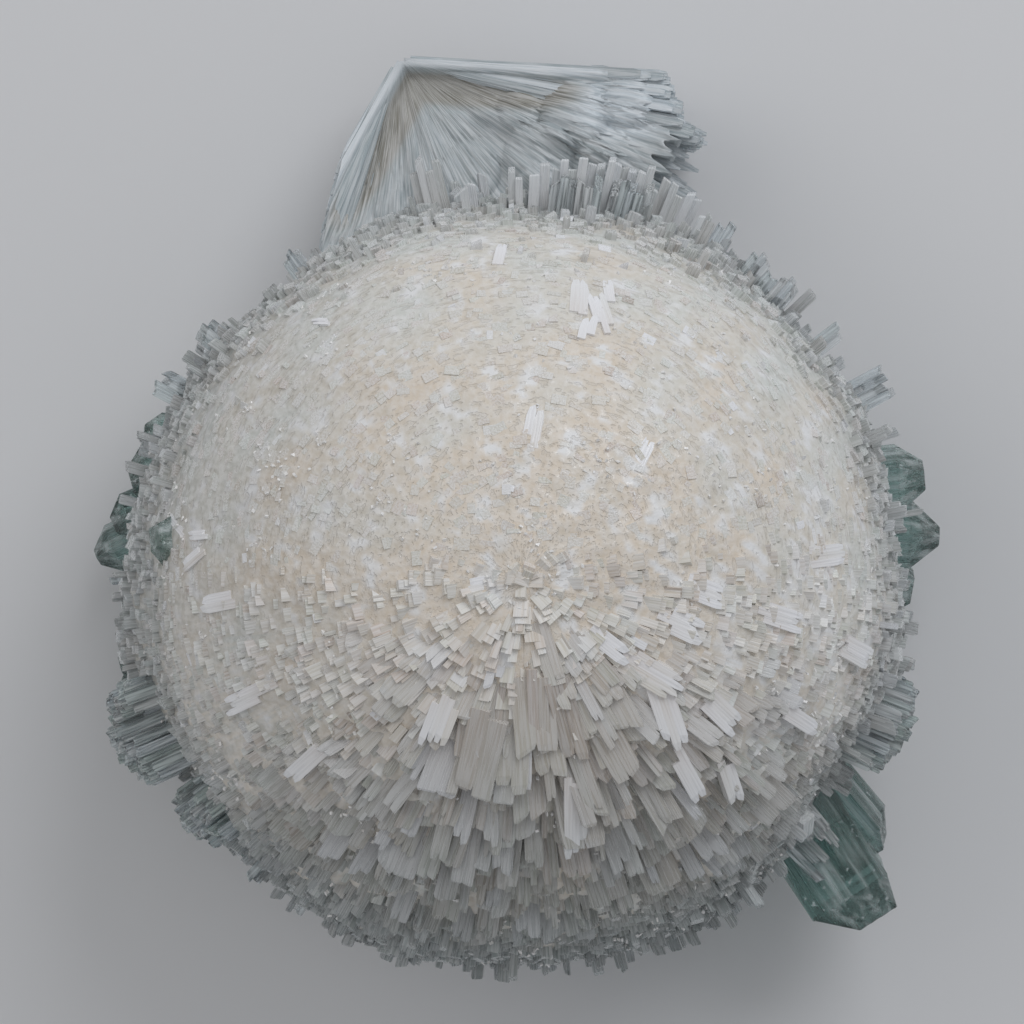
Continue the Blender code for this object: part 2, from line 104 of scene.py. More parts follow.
# Upright prisms side by side over the second spray: heading, rise, reach and width
UPRIGHT_PRISMS = (
    (103.5, 8, 42.6, 3.2), (98, 12, 39.8, 1.6), (91, 10, 40.6, 1.4), (87.5, 9, 41.2, 2),
    (84.6, 6, 41.8, 1.5), (82.2, 10, 42.2, 1.8), (79.6, 5, 42.6, 1.7), (77.2, 8, 42.9, 1.4),
    (75.2, 4, 42.4, 1.6), (72.8, 7, 42.8, 1.5), (70.4, 3, 42, 1.8), (68, 6, 41.6, 1.5),
    (65.4, 2, 41.8, 1.6), (62.8, 5, 41.2, 1.3),
)

# Bright flat prisms: place over the dome, heading, length and width
BRIGHT_PLATES = (
    (7.8, -7.6, -38, 3.4, 1.7), (11.6, -10.2, -32, 5.6, 2.6), (12.6, -14.4, -68, 5.4, 2.4),
    (14.6, -19.8, -58, 4.8, 1.6), (3.9, -23.4, -87, 7, 2.1), (18.4, -20.4, -62, 3.4, 1.6),
    (18, -14, -42, 3.6, 2.2), (27.4, -27, -46, 4, 1.6), (26, -15, -30, 5, 1.5),
    (14.4, -5.6, -24, 3.6, 2.4), (16.8, -2.6, -18, 3.2, 2.2), (24, -5, -15, 4.2, 2),
    (-8.6, -14.8, -112, 3.8, 2.6), (-26.6, -12.4, 205, 5.6, 1.8), (-29, -3.4, 188, 4.6, 1.7),
    (-21, -18.4, 222, 4.6, 1.6), (0.2, 13.2, 80, 4.4, 1.6), (4.6, 25.6, 82, 5, 1.7),
    (6.5, 24.6, 93, 4.4, 1.8), (5.4, 22.8, 76, 3.2, 1.5), (7.4, 26.8, 84, 3, 1),
    (-33.6, 4, 160, 3.4, 0.8), (-31.4, 0.6, 196, 3.8, 1.2), (-31, 2.8, 178, 3, 0.9),
    (-2.9, 30.4, 88, 3.8, 1), (-20.2, 23.2, 150, 2.6, 0.7), (28.6, 1, 5, 4.6, 2),
    (31.6, -8.6, -18, 4.4, 2.2), (-5.6, -1.6, 190, 1.8, 1.2), (10.6, 11, 60, 3, 1.2),
)

# Bundles of clear prisms at the rim: heading, rise, reach, spread and height in degrees, count
CLEAR_BUNDLES = (
    (202.5, 2, 44.6, 8, 14, 190),
    (217, 6, 42.2, 5.5, 13, 120),
    (-22.5, -4, 42.8, 7.5, 10, 110),
)

# Clear prisms against the large green crystal: foot, heading, rise, length, width and depth
PRISMS_ON_GREEN = (
    ((23.6, -20.8, 21.4), -50, -3, 9.2, 2.7, 1.4),
    ((25.4, -22, 20.6), -50, -3, 8.8, 1.1, 1.1),
    ((21.6, -25, 20.4), -58, -5, 8, 1.2, 0.9),
)

# Apophyllite crystals: foot, heading, rise, width, depth, length and twist, then the share of
# the width that the pyramid takes, the share of it that is left at its end, and how far that lies aside
GREEN_CRYSTALS = {
    "point": (
        ((22.4, -18.4, 15.6), -56.5, -3, 9.2, 8.6, 22, 4, 0.42, 0.45, 0.12),
        ((24.2, -17.6, 11), -50, -8, 8, 6.4, 17, 20, 0.3, 0.55, 0),
    ),
    "green_end": (
        ((-21, -17.6, 13), 216, -6, 6.4, 7, 15, 8, 0.2, 0.7, 0),
        ((-19.4, -20, 10.6), 221, -4, 6.2, 6.4, 14.4, -12, 0.2, 0.65, 0),
        ((-21.6, -16.6, 9), 214, -8, 7, 7.6, 14.6, 20, 0.3, 0.5, 0),
    ),
    "left_wing": (
        ((-32.5, 10.6, 9), 196, 4, 5.4, 5, 9, 30, 0.4, 0.4, 0),
        ((-33, 7.8, 7), 203, 2, 4.8, 5.2, 11, 12, 0.4, 0.35, 0),
        ((-34, 5.4, 6), 205, -2, 3.6, 4.4, 12.2, 40, 0.6, 0.3, 0),
        ((-33, 12.6, 11.5), 176, 8, 4, 4, 6.6, 10, 0.4, 0.4, 0),
    ),
    "left_pyramid": (
        ((-34.6, -3.6, 13), 219, 0, 4.6, 4.6, 8.2, 45, 0.9, 0.12, 0),
    ),
    "left_beads": (
        ((-34, -8.6, 5), 197, 3, 4.2, 4.4, 9, 20, 0.4, 0.4, 0),
        ((-33, -11, 5), 199, -3, 5, 5, 10, 35, 0.4, 0.35, 0),
        ((-31, -14.6, 5.6), 208, -4, 6.4, 5.6, 10.4, 15, 0.3, 0.5, 0),
    ),
    "foot": (
        ((9.6, -28, 8), 283, -4, 6.2, 6, 11.2, 6, 0.25, 0.6, 0),
        ((14.6, -26.6, 9), 294, -2, 5.2, 5.6, 10.6, 30, 0.3, 0.5, 0),
        ((18.4, -25, 8), 303, -4, 4.6, 5, 9.6, 12, 0.3, 0.5, 0),
    ),
    "right_wing": (
        ((33, 8, 11), 6, 4, 5.4, 5, 7.6, 32, 0.5, 0.4, 0),
        ((32.6, 3, 8.6), -3, 3, 5, 5.4, 9.8, 45, 0.6, 0.25, 0),
        ((31.6, -1.6, 7.4), -8, 0, 5.4, 5, 8.2, 20, 0.4, 0.5, 0),
    ),
    "inset": (
        ((-27, 1.4, 34), 172, 38, 4.4, 3.6, 11.2, 24, 0.4, 0.5, 0),
    ),
}

# Camera straight above the ball, at the distance that gives the photograph's perspective
CAMERA_AIM = (-1.8, 5)
CAMERA_HEIGHT = 402
CAMERA_LENS = 133.6
CAMERA_SENSOR = 36

# Refractive index of each mineral, and the green crystals' absorption
SCOLECITE_IOR = 1.51
APOPHYLLITE_IOR = 1.535
GREEN_ABSORBED = (0.46, 0.68, 0.66, 1)
GREEN_DENSITY = 240

# Colours of the ball: its mass, its prisms and what lies on them
SKIN_WARM, SKIN_COOL = (0.805, 0.715, 0.605), (0.74, 0.765, 0.735)
# The gap colour is painted shade in the gaps between prism ends.
GAP_PAINTED_SHADE, STREAK_BROWN, GRAIN_WHITE = (0.60, 0.55, 0.48), (0.78, 0.72, 0.64), (0.97, 0.97, 0.97)
PATCH_WHITE, PATCH_BROWN = (0.91, 0.92, 0.935), (0.70, 0.645, 0.555)
PRISM_WARM, PRISM_COOL = (0.805, 0.72, 0.62), (0.75, 0.775, 0.75)
PEACH, PALE_GREEN, ICE = (0.72, 0.585, 0.52), (0.68, 0.74, 0.66), (0.88, 0.915, 0.93)
BRIGHT_WHITE, LINE_WHITE = (0.94, 0.95, 0.985), (0.97, 0.98, 1)
# Painted shade: the deep and root browns darken prisms that lie deep among others, the foot side shade
# darkens the foot side, and the rim grey is partly painted shade and partly the clearer mineral.
DEEP_PAINTED_SHADE, ROOT_PAINTED_SHADE, RIM_GREY = (0.50, 0.43, 0.37), (0.70, 0.60, 0.53), (0.58, 0.65, 0.68)
FOOT_SIDE_SHADE = np.array([0.56, 0.595, 0.59])
CLEAR_GREEN, CLEAR_BLUE, CLEAR_WHITE = (0.78, 0.88, 0.86), (0.86, 0.92, 0.96), (0.95, 0.97, 0.98)
CHIP_CREAM, CHIP_WHITE = (0.88, 0.86, 0.82), (0.96, 0.97, 1)
TOP_OF_DOME, WHITE_SIDE = np.array([1, -1, 60]), np.array([28, -8, 44])

# Colours of the second spray and of the green crystals
# The fan's brown is painted shade in its hollow, and its wall white is a painted highlight.
FAN_WHITE, FAN_HOLLOW_PAINTED_SHADE = (0.93, 0.96, 0.99), (0.42, 0.375, 0.31)
FAN_GREY, FAN_WALL_PAINTED_HIGHLIGHT = (0.70, 0.76, 0.80), (0.95, 0.98, 1)
FAN_BRIGHT_PLACE, FAN_BRIGHT_SIZE = np.array([9.5, 46]), np.array([6.5, 3.5])
GREEN_DARK, GREEN_PALE, VEIL_WHITE = (0.60, 0.74, 0.70), (0.70, 0.78, 0.76), (0.80, 0.87, 0.89)

# Floor and lights, in metres and watts: place, size, power and colour
FLOOR_HALF, FLOOR_LEVEL = 1.6, -0.0002
FLOOR_GREY = (0.79, 0.80, 0.82, 1)
LIGHTS = (
    ("key_light", (0.24, 0.42, 0.44), 0.45, 1.3, (0.97, 0.98, 1)),
    ("fill_light", (-0.45, 0.20, 0.45), 0.5, 0.5, (1, 0.96, 0.92)),
)
LIGHTS_AIM = Vector((0, 0, 0.03))
AROUND_COLOUR = (0.97, 0.98, 1, 1)
AROUND_STRENGTH = 0.355

# Corners of a prism's section, in units of half its width and depth
CORNER_X = np.array([-1, 1, 1, -1])
CORNER_Y = np.array([-1, -1, 1, 1])


def directions(heading, rise):
    """Unit vectors for arrays of headings and rises in degrees."""
    heading, rise = np.radians(heading), np.radians(rise)
    flat = np.cos(rise)
    return np.stack([flat * np.cos(heading), flat * np.sin(heading), np.sin(rise)], -1)


def normalised(vectors):
    """The same vectors at length 1."""
    return vectors / np.linalg.norm(vectors, axis=-1, keepdims=True)


def side_axes(axis, twist):
    """Across and over for each axis; across lies level where twist is 0."""
    helper = np.where(np.abs(axis[:, 2:3]) < 0.98, [[0, 0, 1]], [[0, 1, 0]])
    across = normalised(np.cross(helper, axis))
    over = np.cross(axis, across)
    turn = np.radians(twist)[:, None]
    return across * np.cos(turn) + over * np.sin(turn), over * np.cos(turn) - across * np.sin(turn)


def smooth_share(value, low, high):
    """0 up to low and 1 from high on, with a soft change between them."""
    share = np.clip((value - low) / (high - low), 0, 1)
    return share * share * (3 - 2 * share)


def blend(first, second, share):
    """Between two colours: the first where the share is 0 and the second where it is 1."""
    return np.asarray(first) + (np.asarray(second) - np.asarray(first)) * share[..., None]


def scattered(draw, middle, scale, count):
    """Random values around a middle one, kept from 0 to 1."""
    return np.clip(middle + draw.normal(0, scale, count), 0, 1)


def tilts(draw, across, over, count):
    """Random slopes of prism ends, across and over."""
    return draw.normal(0, across, count), draw.normal(0, over, count)


def ring_faces(rows, turns, outward=True):
    """Quads between closed rings of points, row by row."""
    row, i = np.meshgrid(np.arange(rows - 1), np.arange(turns), indexing="ij")
    j = (i + 1) % turns
    first, second = (i, j) if outward else (j, i)
    corners = (row * turns + first, row * turns + second, (row + 1) * turns + second,
               (row + 1) * turns + first)
    return np.stack(corners, -1).reshape(-1, 4)


def cap_faces(ring):
    """Quads that close a ring of points, all from its first point."""
    return [(ring[0], ring[k], ring[k + 1], ring[k + 2]) for k in range(1, len(ring) - 2, 2)]


def column(values, count):
    """Values as a column, one row for each prism."""
    return np.broadcast_to(values, count)[:, None]


def placed(name, data):
    """A new object of the scene."""
    obj = bpy.data.objects.new(name, data)
    bpy.context.scene.collection.objects.link(obj)
    return obj


class Prisms:
    """Arrays that describe many closed prisms, joined into one mesh in the end."""

    def __init__(self):
        self.parts = []
        self.faces = []
        self.count = 0

    def add(self, foot, axis, length, width, depth, twist, tone, clear,
            foot_share=1, bevel=0, cap=0, tilt=(0, 0), tint=0.5):
        """Prisms from foot along axis; the last cap mm get narrower by the share bevel."""
        n = len(foot)
        across, over = side_axes(axis, np.broadcast_to(twist, n))
        rings = [(0, foot_share, 0), (length - cap, 1, 1)]
        if np.any(bevel):
            rings.append((length, 1 - bevel, 1))
        seed = column((np.arange(n) * 7.31) % 97, n)
        points, local = [], []
        for height, share, tilted in rings:
            x = CORNER_X * column(width * share / 2, n)
            y = CORNER_Y * column(depth * share / 2, n)
            z = column(height, n) + tilted * (column(tilt[0], n) * x + column(tilt[1], n) * y)
            points.append(foot[:, None] + across[:, None] * x[..., None]
                          + over[:, None] * y[..., None] + axis[:, None] * z[..., None])
            local.append(np.stack([x + seed, y - seed, z - column(length, n)], -1))
        size = 4 * len(rings)
        quads = np.concatenate([[(3, 2, 1, 0)], ring_faces(len(rings), 4), [size - 4 + np.arange(4)]])
        self.add_grid(
            np.concatenate(points, 1).reshape(-1, 3), np.concatenate(local, 1).reshape(-1, 3),
            (size * np.arange(n)[:, None, None] + quads).reshape(-1, 4),
            *(np.repeat(np.broadcast_to(look, n), size) for look in (tone, clear, tint)),
        )

    def add_grid(self, points, local, faces, tone, clear, tint=0.5):
        """Any other closed part, given point by point."""
        looks = (np.broadcast_to(look, len(points)) for look in (tone, tint, clear))
        self.parts.append((points, local, *looks))
        self.faces.append(faces + self.count)
        self.count += len(points)

    def make(self, name, material, palette, smooth):
        """One object from all parts, with a colour at each point and nothing below the cut."""
        points, local, tone, tint, clear = (np.concatenate(part) for part in zip(*self.parts))
        faces = np.concatenate(self.faces)
        points = points * MM
        points[:, 2] = np.maximum(points[:, 2], 0)
        pale = palette(points / MM, tone, tint, local[:, 2])
        mesh = bpy.data.meshes.new(name)
        mesh.vertices.add(len(points))
        mesh.vertices.foreach_set("co", points.ravel())
        mesh.loops.add(faces.size)
        mesh.loops.foreach_set("vertex_index", faces.ravel())
        mesh.polygons.add(len(faces))
        mesh.polygons.foreach_set("loop_start", np.arange(0, faces.size, 4))
        for key, kind, values, slot in (
            ("local", "FLOAT_VECTOR", local, "vector"),
            ("pale", "FLOAT_COLOR", np.concatenate([pale, np.ones((len(pale), 1))], 1), "color"),
            ("clear", "FLOAT", clear, "value"),
        ):
            layer = mesh.attributes.new(key, kind, "POINT")
            layer.data.foreach_set(slot, values.astype(np.float32).ravel())
        mesh.polygons.foreach_set("use_smooth", np.full(len(faces), smooth))
        mesh.update()
        mesh.validate()
        mesh.materials.append(material)
        return placed(name, mesh)


def growth(axis):
    """How far the prisms stand apart in this direction: 0 on the smooth top, 1 at the foot."""
    return np.clip(0.10 - 1.45 * axis[..., 1] + 0.12 * axis[..., 0], 0, 1)


def rim_share(axis):
    """0 on top of the dome and 1 at its rim and below."""
    level = np.hypot(axis[..., 0], axis[..., 1])
    return np.where(axis[..., 2] < 0, 1, np.clip((level - 0.86) * 8, 0, 1))


def ball_reach(axis):
    """How far the prisms reach from the ball's centre, uneven at the rim."""
    reach = BALL_REACH - REACH_TO_THE_LEFT * axis[..., 0] - REACH_TO_THE_FOOT * axis[..., 1]
    return reach + UNEVEN_OUTLINE * waves(axis, 11, 33) * rim_share(axis)


def waves(axis, frequency, seed):
    """Smooth pseudo-random field on the sphere, about -1 to 1."""
    draw = default_rng(seed)
    total = np.zeros(axis.shape[:-1])
    for _ in range(9):
        way = normalised(draw.normal(size=3)) * frequency * draw.uniform(0.6, 1.5)
        total += np.sin(axis @ way + draw.uniform(0, 2 * math.pi))
    return total / 3


def cells(across, along, seed):
    """Random levels from -1 to 1 in long cells that are staggered from row to row."""
    draw = default_rng(seed)
    rows, lanes = 48, 200
    table = draw.uniform(-1, 1, (rows, lanes))
    shift = draw.uniform(0, rows, lanes)
    lane = np.floor(across).astype(int) % lanes
    row = np.floor(along + shift[lane]).astype(int) % rows
    return table[row, lane]


def ridges(axis):
    """Steps that run down the dome, each with its own height."""
    polar = np.arccos(np.clip(axis[..., 2], -1, 1))
    around = (np.arctan2(axis[..., 0], axis[..., 1]) / (2 * math.pi) + 0.5) * 200
    return cells(around, polar * 9, 31)


def core_radius(axis):
    """The mass that the prisms stand in: at their ends on top, and deep among them below."""
    loose = growth(axis)
    bumps = 0.16 * waves(axis, 18, 4) + 0.06 * waves(axis, 60, 5) + 0.04 * waves(axis, 120, 6)
    drop = CORE_DROP_ON_TOP + (SHINGLE_RELIEF - CORE_DROP_ON_TOP) * loose ** 2
    drop = drop + CORE_DROP_AT_RIM * rim_share(axis) * (1 - loose)
    return ball_reach(axis) - drop + bumps + 0.3 * loose ** 2 * ridges(axis)


def crystal_axes(heading, rise, twist):
    """Along, across and over for one green crystal."""
    axis = directions(np.array([heading]), np.array([rise]))
    across, over = side_axes(axis, np.array([twist]))
    return axis[0], across[0], over[0]


def inside_crystals(points):
    """Which points lie inside a green crystal, where no prism ends."""
    hidden = np.zeros(len(points), bool)
    for crystals in GREEN_CRYSTALS.values():
        for foot, heading, rise, width, depth, length, twist, *_ in crystals:
            along, across, over = crystal_axes(heading, rise, twist)
            offset = points - np.array(foot)
            hidden |= (
                (np.abs(offset @ across) < width / 2) & (np.abs(offset @ over) < depth / 2)
                & (offset @ along > -1) & (offset @ along < length)
            )
    return hidden


def among_clear(axis):
    """Which directions lie in a bundle of clear prisms, where hardly any other prism stands."""
    heading = np.degrees(np.arctan2(axis[:, 1], axis[:, 0]))
    rise = np.degrees(np.arcsin(np.clip(axis[:, 2], -1, 1)))
    found = np.zeros(len(axis), bool)
    for middle, level, _, spread, high, _ in CLEAR_BUNDLES:
        aside = (heading - middle + 180) % 360 - 180
        found |= (np.abs(aside) < spread) & (np.abs(rise - level) < high)
    return found


def spread_axes(count, draw, jitter):
    """Evenly spread directions on the part of the ball that stands above the cut."""
    i = np.arange(count)
    z = 1 - (2 * i + 1) / count
    flat = np.sqrt(1 - z * z)
    axis = np.stack([flat * np.cos(i * GOLDEN_ANGLE), flat * np.sin(i * GOLDEN_ANGLE), z], -1)
    axis = normalised(axis + draw.normal(0, jitter, axis.shape))
    return axis[axis[:, 2] > -0.72]


def down_the_dome(axis):
    """Along the surface, away from the top of the dome."""
    down = np.stack([axis[:, 0] * axis[:, 2], axis[:, 1] * axis[:, 2],
                     -axis[:, 0] ** 2 - axis[:, 1] ** 2], -1)
    return down / np.maximum(np.linalg.norm(down, axis=1, keepdims=True), 0.02)


def leaning(axis, degrees):
    """Outward directions, turned down the dome by these angles."""
    turn = np.radians(degrees)[:, None]
    return normalised(axis * np.cos(turn) + down_the_dome(axis) * np.sin(turn))


def feet_of(tip, pointing, length):
    """Feet this far behind the tips, or at the flat cut where they would pass it."""
    room = (tip[:, 2] - FLOOR_GAP) / np.maximum(pointing[:, 2], 1e-3)
    length = np.where(pointing[:, 2] > 0.02, np.minimum(length, room), length)
    return tip - pointing * length[:, None], length


def clear_at_rim(axis, draw):
    """How see-through prisms are: milky on the dome and partly clear at its rim."""
    level = np.hypot(axis[:, 0], axis[:, 1])
    return np.clip((level - 0.88) * 4, 0, 1) * draw.uniform(0.1, 0.8, len(axis))


def add_ends(prisms, tip, pointing, length, width, depth, tilt, **looks):
    """Prisms given by their tips, without those inside a green crystal or under the cut."""
    foot, length = feet_of(tip, pointing, length)
    keep = (tip[:, 2] > LOWEST_TIP) & (length > SHORTEST_PRISM) & ~inside_crystals(tip)
    keep &= ~among_clear(normalised(tip - BALL_CENTRE))
    keep &= ~inside_crystals(tip - pointing * 1.5)
    picked = {key: np.broadcast_to(value, len(tip))[keep] for key, value in looks.items()}
    prisms.add(foot[keep], pointing[keep], length[keep], width[keep], depth[keep],
               tilt=[slope[keep] for slope in tilt], **picked)


def shingle_lean(axis):
    """How far the prisms of the foot side lie down: nearly flat near the top of the dome."""
    polar = np.degrees(np.arccos(np.clip(axis[:, 2], -1, 1)))
    return np.clip(102 - polar, 8, SHINGLE_LEAN) * growth(axis) ** 0.12 * (polar < 112)


def shingle_prisms(prisms):
    """Long prisms in pairs that lie over one another down the foot side of the dome."""
    draw = default_rng(17)
    axis = spread_axes(SHINGLES, draw, 0.03)
    loose = growth(axis)
    axis = axis[draw.uniform(size=len(axis)) < np.clip((loose - 0.15) / 0.35, 0, 1)]
    loose = growth(axis)
    n = len(axis)
    pointing = leaning(axis, shingle_lean(axis) + draw.normal(0, 3.5, n))
    pointing = normalised(pointing + draw.normal(0, 0.045, (n, 3)))
    depth_share = draw.uniform(size=n) ** 1.1
    drop = (0.15 + SHINGLE_RELIEF * loose ** 2) * depth_share
    reach = ball_reach(axis) - 0.1 + loose ** 2 * (1 - rim_share(axis)) - drop
    reach += 0.4 * waves(axis, 12, 9) * loose ** 2
    width = np.clip(SHINGLE_WIDTH * draw.lognormal(0, 0.4, n), 0.4, 2)
    depth = draw.uniform(0.4, 0.8, n) * np.sqrt(width)
    twist = draw.normal(0, 9, n)
    across = side_axes(pointing, twist)[0]
    tone = scattered(draw, 0.5, 0.11, n)
    # Deeper-lying prisms get a lower tint, which their colour turns browner: painted shade among the
    # shingles.
    tint = scattered(draw, 0.72 - 0.5 * depth_share, 0.14, n)
    clear = np.clip(clear_at_rim(axis, draw) + 0.5 * loose, 0, 1)
    undercut = 0.3 * loose ** 2
    for side in (-0.5, 0.5):
        tip = BALL_CENTRE + axis * reach[:, None] + across * (side * width)[:, None]
        tip = tip - pointing * draw.uniform(0, 1.3, n)[:, None]
        add_ends(
            prisms, tip, pointing, 3 + 6 * loose, width * 1.02, depth * draw.uniform(0.8, 1.1, n),
            twist=twist, clear=clear, tint=tint, tone=scattered(draw, tone, 0.05, n),
            bevel=draw.uniform(0.1, 0.45, n), cap=draw.uniform(0.2, 1, n),
            tilt=(draw.normal(0, 0.28, n), undercut + draw.normal(0, 0.2, n)),
        )


def short_ends(prisms):
    """Short ends that barely stand out of the mass, and free ones at the rim."""
    draw = default_rng(27)
    axis = spread_axes(SHORT_ENDS, draw, 0.03)
    rim = rim_share(axis)
    edge_of_loose = np.exp(-((growth(axis) - 0.3) / 0.22) ** 2)
    share = np.maximum(0.3 + 0.5 * edge_of_loose, rim)
    axis = axis[draw.uniform(size=len(axis)) < share]
    n = len(axis)
    rim, loose = rim_share(axis), growth(axis)
    free = np.maximum(rim, 0.6 * loose)
    stand = 0.015 + np.abs(draw.normal(size=n)) * (0.028 + 0.32 * free) + 0.35 * rim * (1 + loose)
    pointing = leaning(axis, shingle_lean(axis) * (1 - rim) + draw.normal(0, 1.5, n))
    tip = BALL_CENTRE + axis * (core_radius(axis) + stand)[:, None]
    width = draw.uniform(0.5, 1.5, n) * (1 - 0.15 * rim * (1 - loose))
    add_ends(
        prisms, tip, pointing, SHORT_END_LENGTH + 2 * rim, width, draw.uniform(0.4, 1.1, n),
        twist=draw.normal(0, 12, n), clear=np.clip(clear_at_rim(axis, draw), 0, 1),
        tone=scattered(draw, 0.58, 0.09, n), tint=scattered(draw, 0.5, 0.15, n),
        tilt=(draw.normal(0, 0.05, n) * (1 + 4 * free),
              draw.normal(0, 0.05, n) * (1 + 4 * free) + 0.7 * loose ** 2 * (1 - rim)),
    )


def rim_prisms(prisms):
    """Thin free prisms around the outline, of very unequal length."""
    draw = default_rng(41)
    n = RIM_PRISMS
    heading = draw.uniform(0, 360, n)
    rise = draw.uniform(*RIM_RISES, n)
    axis = directions(heading, rise)
    outer = 1 - np.clip((rise - 4) / 42, 0, 1) ** 0.8
    reach = ball_reach(axis) - 0.5 - 0.6 * outer + draw.gamma(1.4, 0.75, n) * outer
    reach += 0.5 * waves(axis, 20, 3) * outer - 2.6 * growth(axis) * (1 - outer)
    pointing = normalised(axis + draw.normal(0, 0.03, (n, 3)))
    add_ends(
        prisms, BALL_CENTRE + axis * np.minimum(reach, RIM_PRISMS_END_AT)[:, None], pointing,
        np.full(n, RIM_PRISM_LENGTH), draw.uniform(0.4, 1.3, n), draw.uniform(0.4, 1.1, n),
        twist=draw.normal(0, 12, n), clear=draw.uniform(0.4, 1, n) * outer,
        tone=draw.uniform(0.35, 0.75, n), tint=draw.uniform(0.4, 0.9, n),
        bevel=0.15, cap=0.2, tilt=tilts(draw, 0.25, 0.25, n),
    )


def on_the_dome(x, y):
    """Outward direction of the place that is seen at x, y from above."""
    offset = (np.array([x, y]) - BALL_CENTRE[:2]) / BALL_REACH
    return normalised(np.array([[*offset, math.sqrt(max(1 - offset @ offset, 0.02))]]))


def turn_between(across, pointing):
    """Twist that lays a prism's width along across."""
    level, upright = side_axes(pointing, np.zeros(1))
    return np.degrees(np.arctan2(across[0] @ upright[0], across[0] @ level[0]))


def bright_plates(prisms):
    """Each white plate as a few flat prisms side by side, lifted a little at the tip."""
    draw = default_rng(8)
    for x, y, heading, length, width in BRIGHT_PLATES:
        axis = on_the_dome(x, y)
        loose = growth(axis)[0]
        flat = directions(heading, 0)
        along = normalised(flat - axis * np.sum(flat * axis, -1, keepdims=True))
        lift = math.radians(3 + 12 * loose)
        pointing = along * math.cos(lift) + axis * math.sin(lift)
        across = normalised(np.cross(axis, pointing))
        parts = max(2, round(width / PLATE_PART_WIDTH))
        side = ((np.arange(parts) + 0.5) / parts - 0.5)[:, None] * width
        middle = BALL_CENTRE + axis * (ball_reach(axis) - 0.35 + 0.7 * loose ** 2)[:, None]
        ahead = length * (0.5 - draw.uniform(0, 0.3, (parts, 1)))
        tip = middle + across * side + pointing * ahead
        reach_back = length * draw.uniform(0.7, 1.1, parts) + 1.4 * loose
        prisms.add(
            tip - pointing * reach_back[:, None], np.repeat(pointing, parts, 0), reach_back,
            width / parts * 1.04, draw.uniform(0.6, 0.75, parts) + 0.3 * loose,
            turn_between(across, pointing), scattered(draw, 0.9, 0.05, parts), 0,
            bevel=0.4, cap=0.8, tilt=tilts(draw, 0.4, 0.1, parts),
            tint=scattered(draw, 0.9, 0.08, parts),
        )


def sparkling_chips(prisms):
    """Tiny glossy splinters in loose clusters, which catch the light."""
    draw = default_rng(51)
    places = spread_axes(CHIP_CLUSTERS, draw, 0.1)
    axis = np.repeat(places[places[:, 2] > 0.1], CHIPS_IN_A_CLUSTER, 0)
    axis = normalised(axis + draw.normal(0, 0.035, axis.shape))
    n = len(axis)
    pointing = normalised(axis + draw.normal(0, 0.7, (n, 3)))
    height = core_radius(axis) + 0.02 + growth(axis) ** 2 * draw.uniform(0.2, 1.5, n)
    prisms.add(
        BALL_CENTRE + axis * height[:, None] - pointing * 0.12, pointing, draw.uniform(0.2, 0.4, n),
        draw.uniform(0.12, 0.34, n), draw.uniform(0.1, 0.24, n), draw.uniform(0, 90, n),
        1, 0, tint=0.9, tilt=tilts(draw, 0.5, 0.5, n),
    )


def upright_bundle(prisms, draw, heading, rise, reach, width, depth):
    """One standing prism as a few parallel ones of unequal length."""
    parts = max(2, round(width / STANDING_PART_WIDTH))
    axis = directions(np.full(parts, heading), np.full(parts, rise))
    across, over = side_axes(axis, np.zeros(parts))
    side = (np.arange(parts) + 0.5) / parts - 0.5
    foot = BALL_CENTRE + axis * STANDING_FROM + across * (side * width)[:, None]
    foot += over * draw.uniform(-0.2, 0.2, parts)[:, None] * depth
    prisms.add(
        foot, axis, reach - STANDING_FROM - draw.uniform(0, 1.5, parts), width / parts * 1.02,
        draw.uniform(0.6, 1, parts) * depth, 0, draw.uniform(0.5, 0.9, parts),
        draw.uniform(0.1, 0.45, parts), bevel=0.15, cap=0.2, tint=draw.uniform(0.6, 1, parts),
        tilt=tilts(draw, 0.3, 0.2, parts),
    )


def standing_prisms(prisms):
    """The clear prisms that stand out of the outline here and there."""
    draw = default_rng(6)
    for heading, rise, reach, width, depth in STANDING_PRISMS:
        upright_bundle(prisms, draw, heading, rise, reach, width, depth)


def upright_prisms(prisms):
    """The row of prisms in front of the second spray."""
    draw = default_rng(7)
    for heading, rise, reach, width in UPRIGHT_PRISMS:
        upright_bundle(prisms, draw, heading, rise, reach, width, UPRIGHT_DEPTH)


def clear_bundles(prisms):
    """Glassy rods packed side by side in layers, longest in the middle of each bundle."""
    draw = default_rng(12)
    for heading, rise, reach, spread, high, count in CLEAR_BUNDLES:
        side = draw.uniform(-1, 1, count) * spread
        height = draw.uniform(-1, 1, count) * high
        axis = directions(heading + side * 0.3, rise - 6 + height * 0.3)
        foot = BALL_CENTRE + directions(heading + side, rise + height) * BUNDLES_FROM
        off = (side / spread) ** 2 + np.maximum(height / high, 0) ** 2
        length = reach - BUNDLES_FROM - 1.6 * off - draw.gamma(1.5, 0.5, count)
        prisms.add(
            foot, axis, np.maximum(length, 3), draw.uniform(0.6, 1.4, count),
            draw.uniform(0.6, 1.1, count), draw.normal(0, 5, count),
            draw.uniform(0.3, 0.9, count), draw.uniform(0.8, 1, count),
            bevel=0.2, cap=0.25, tilt=tilts(draw, 0.3, 0.3, count), tint=draw.uniform(0, 1, count),
        )


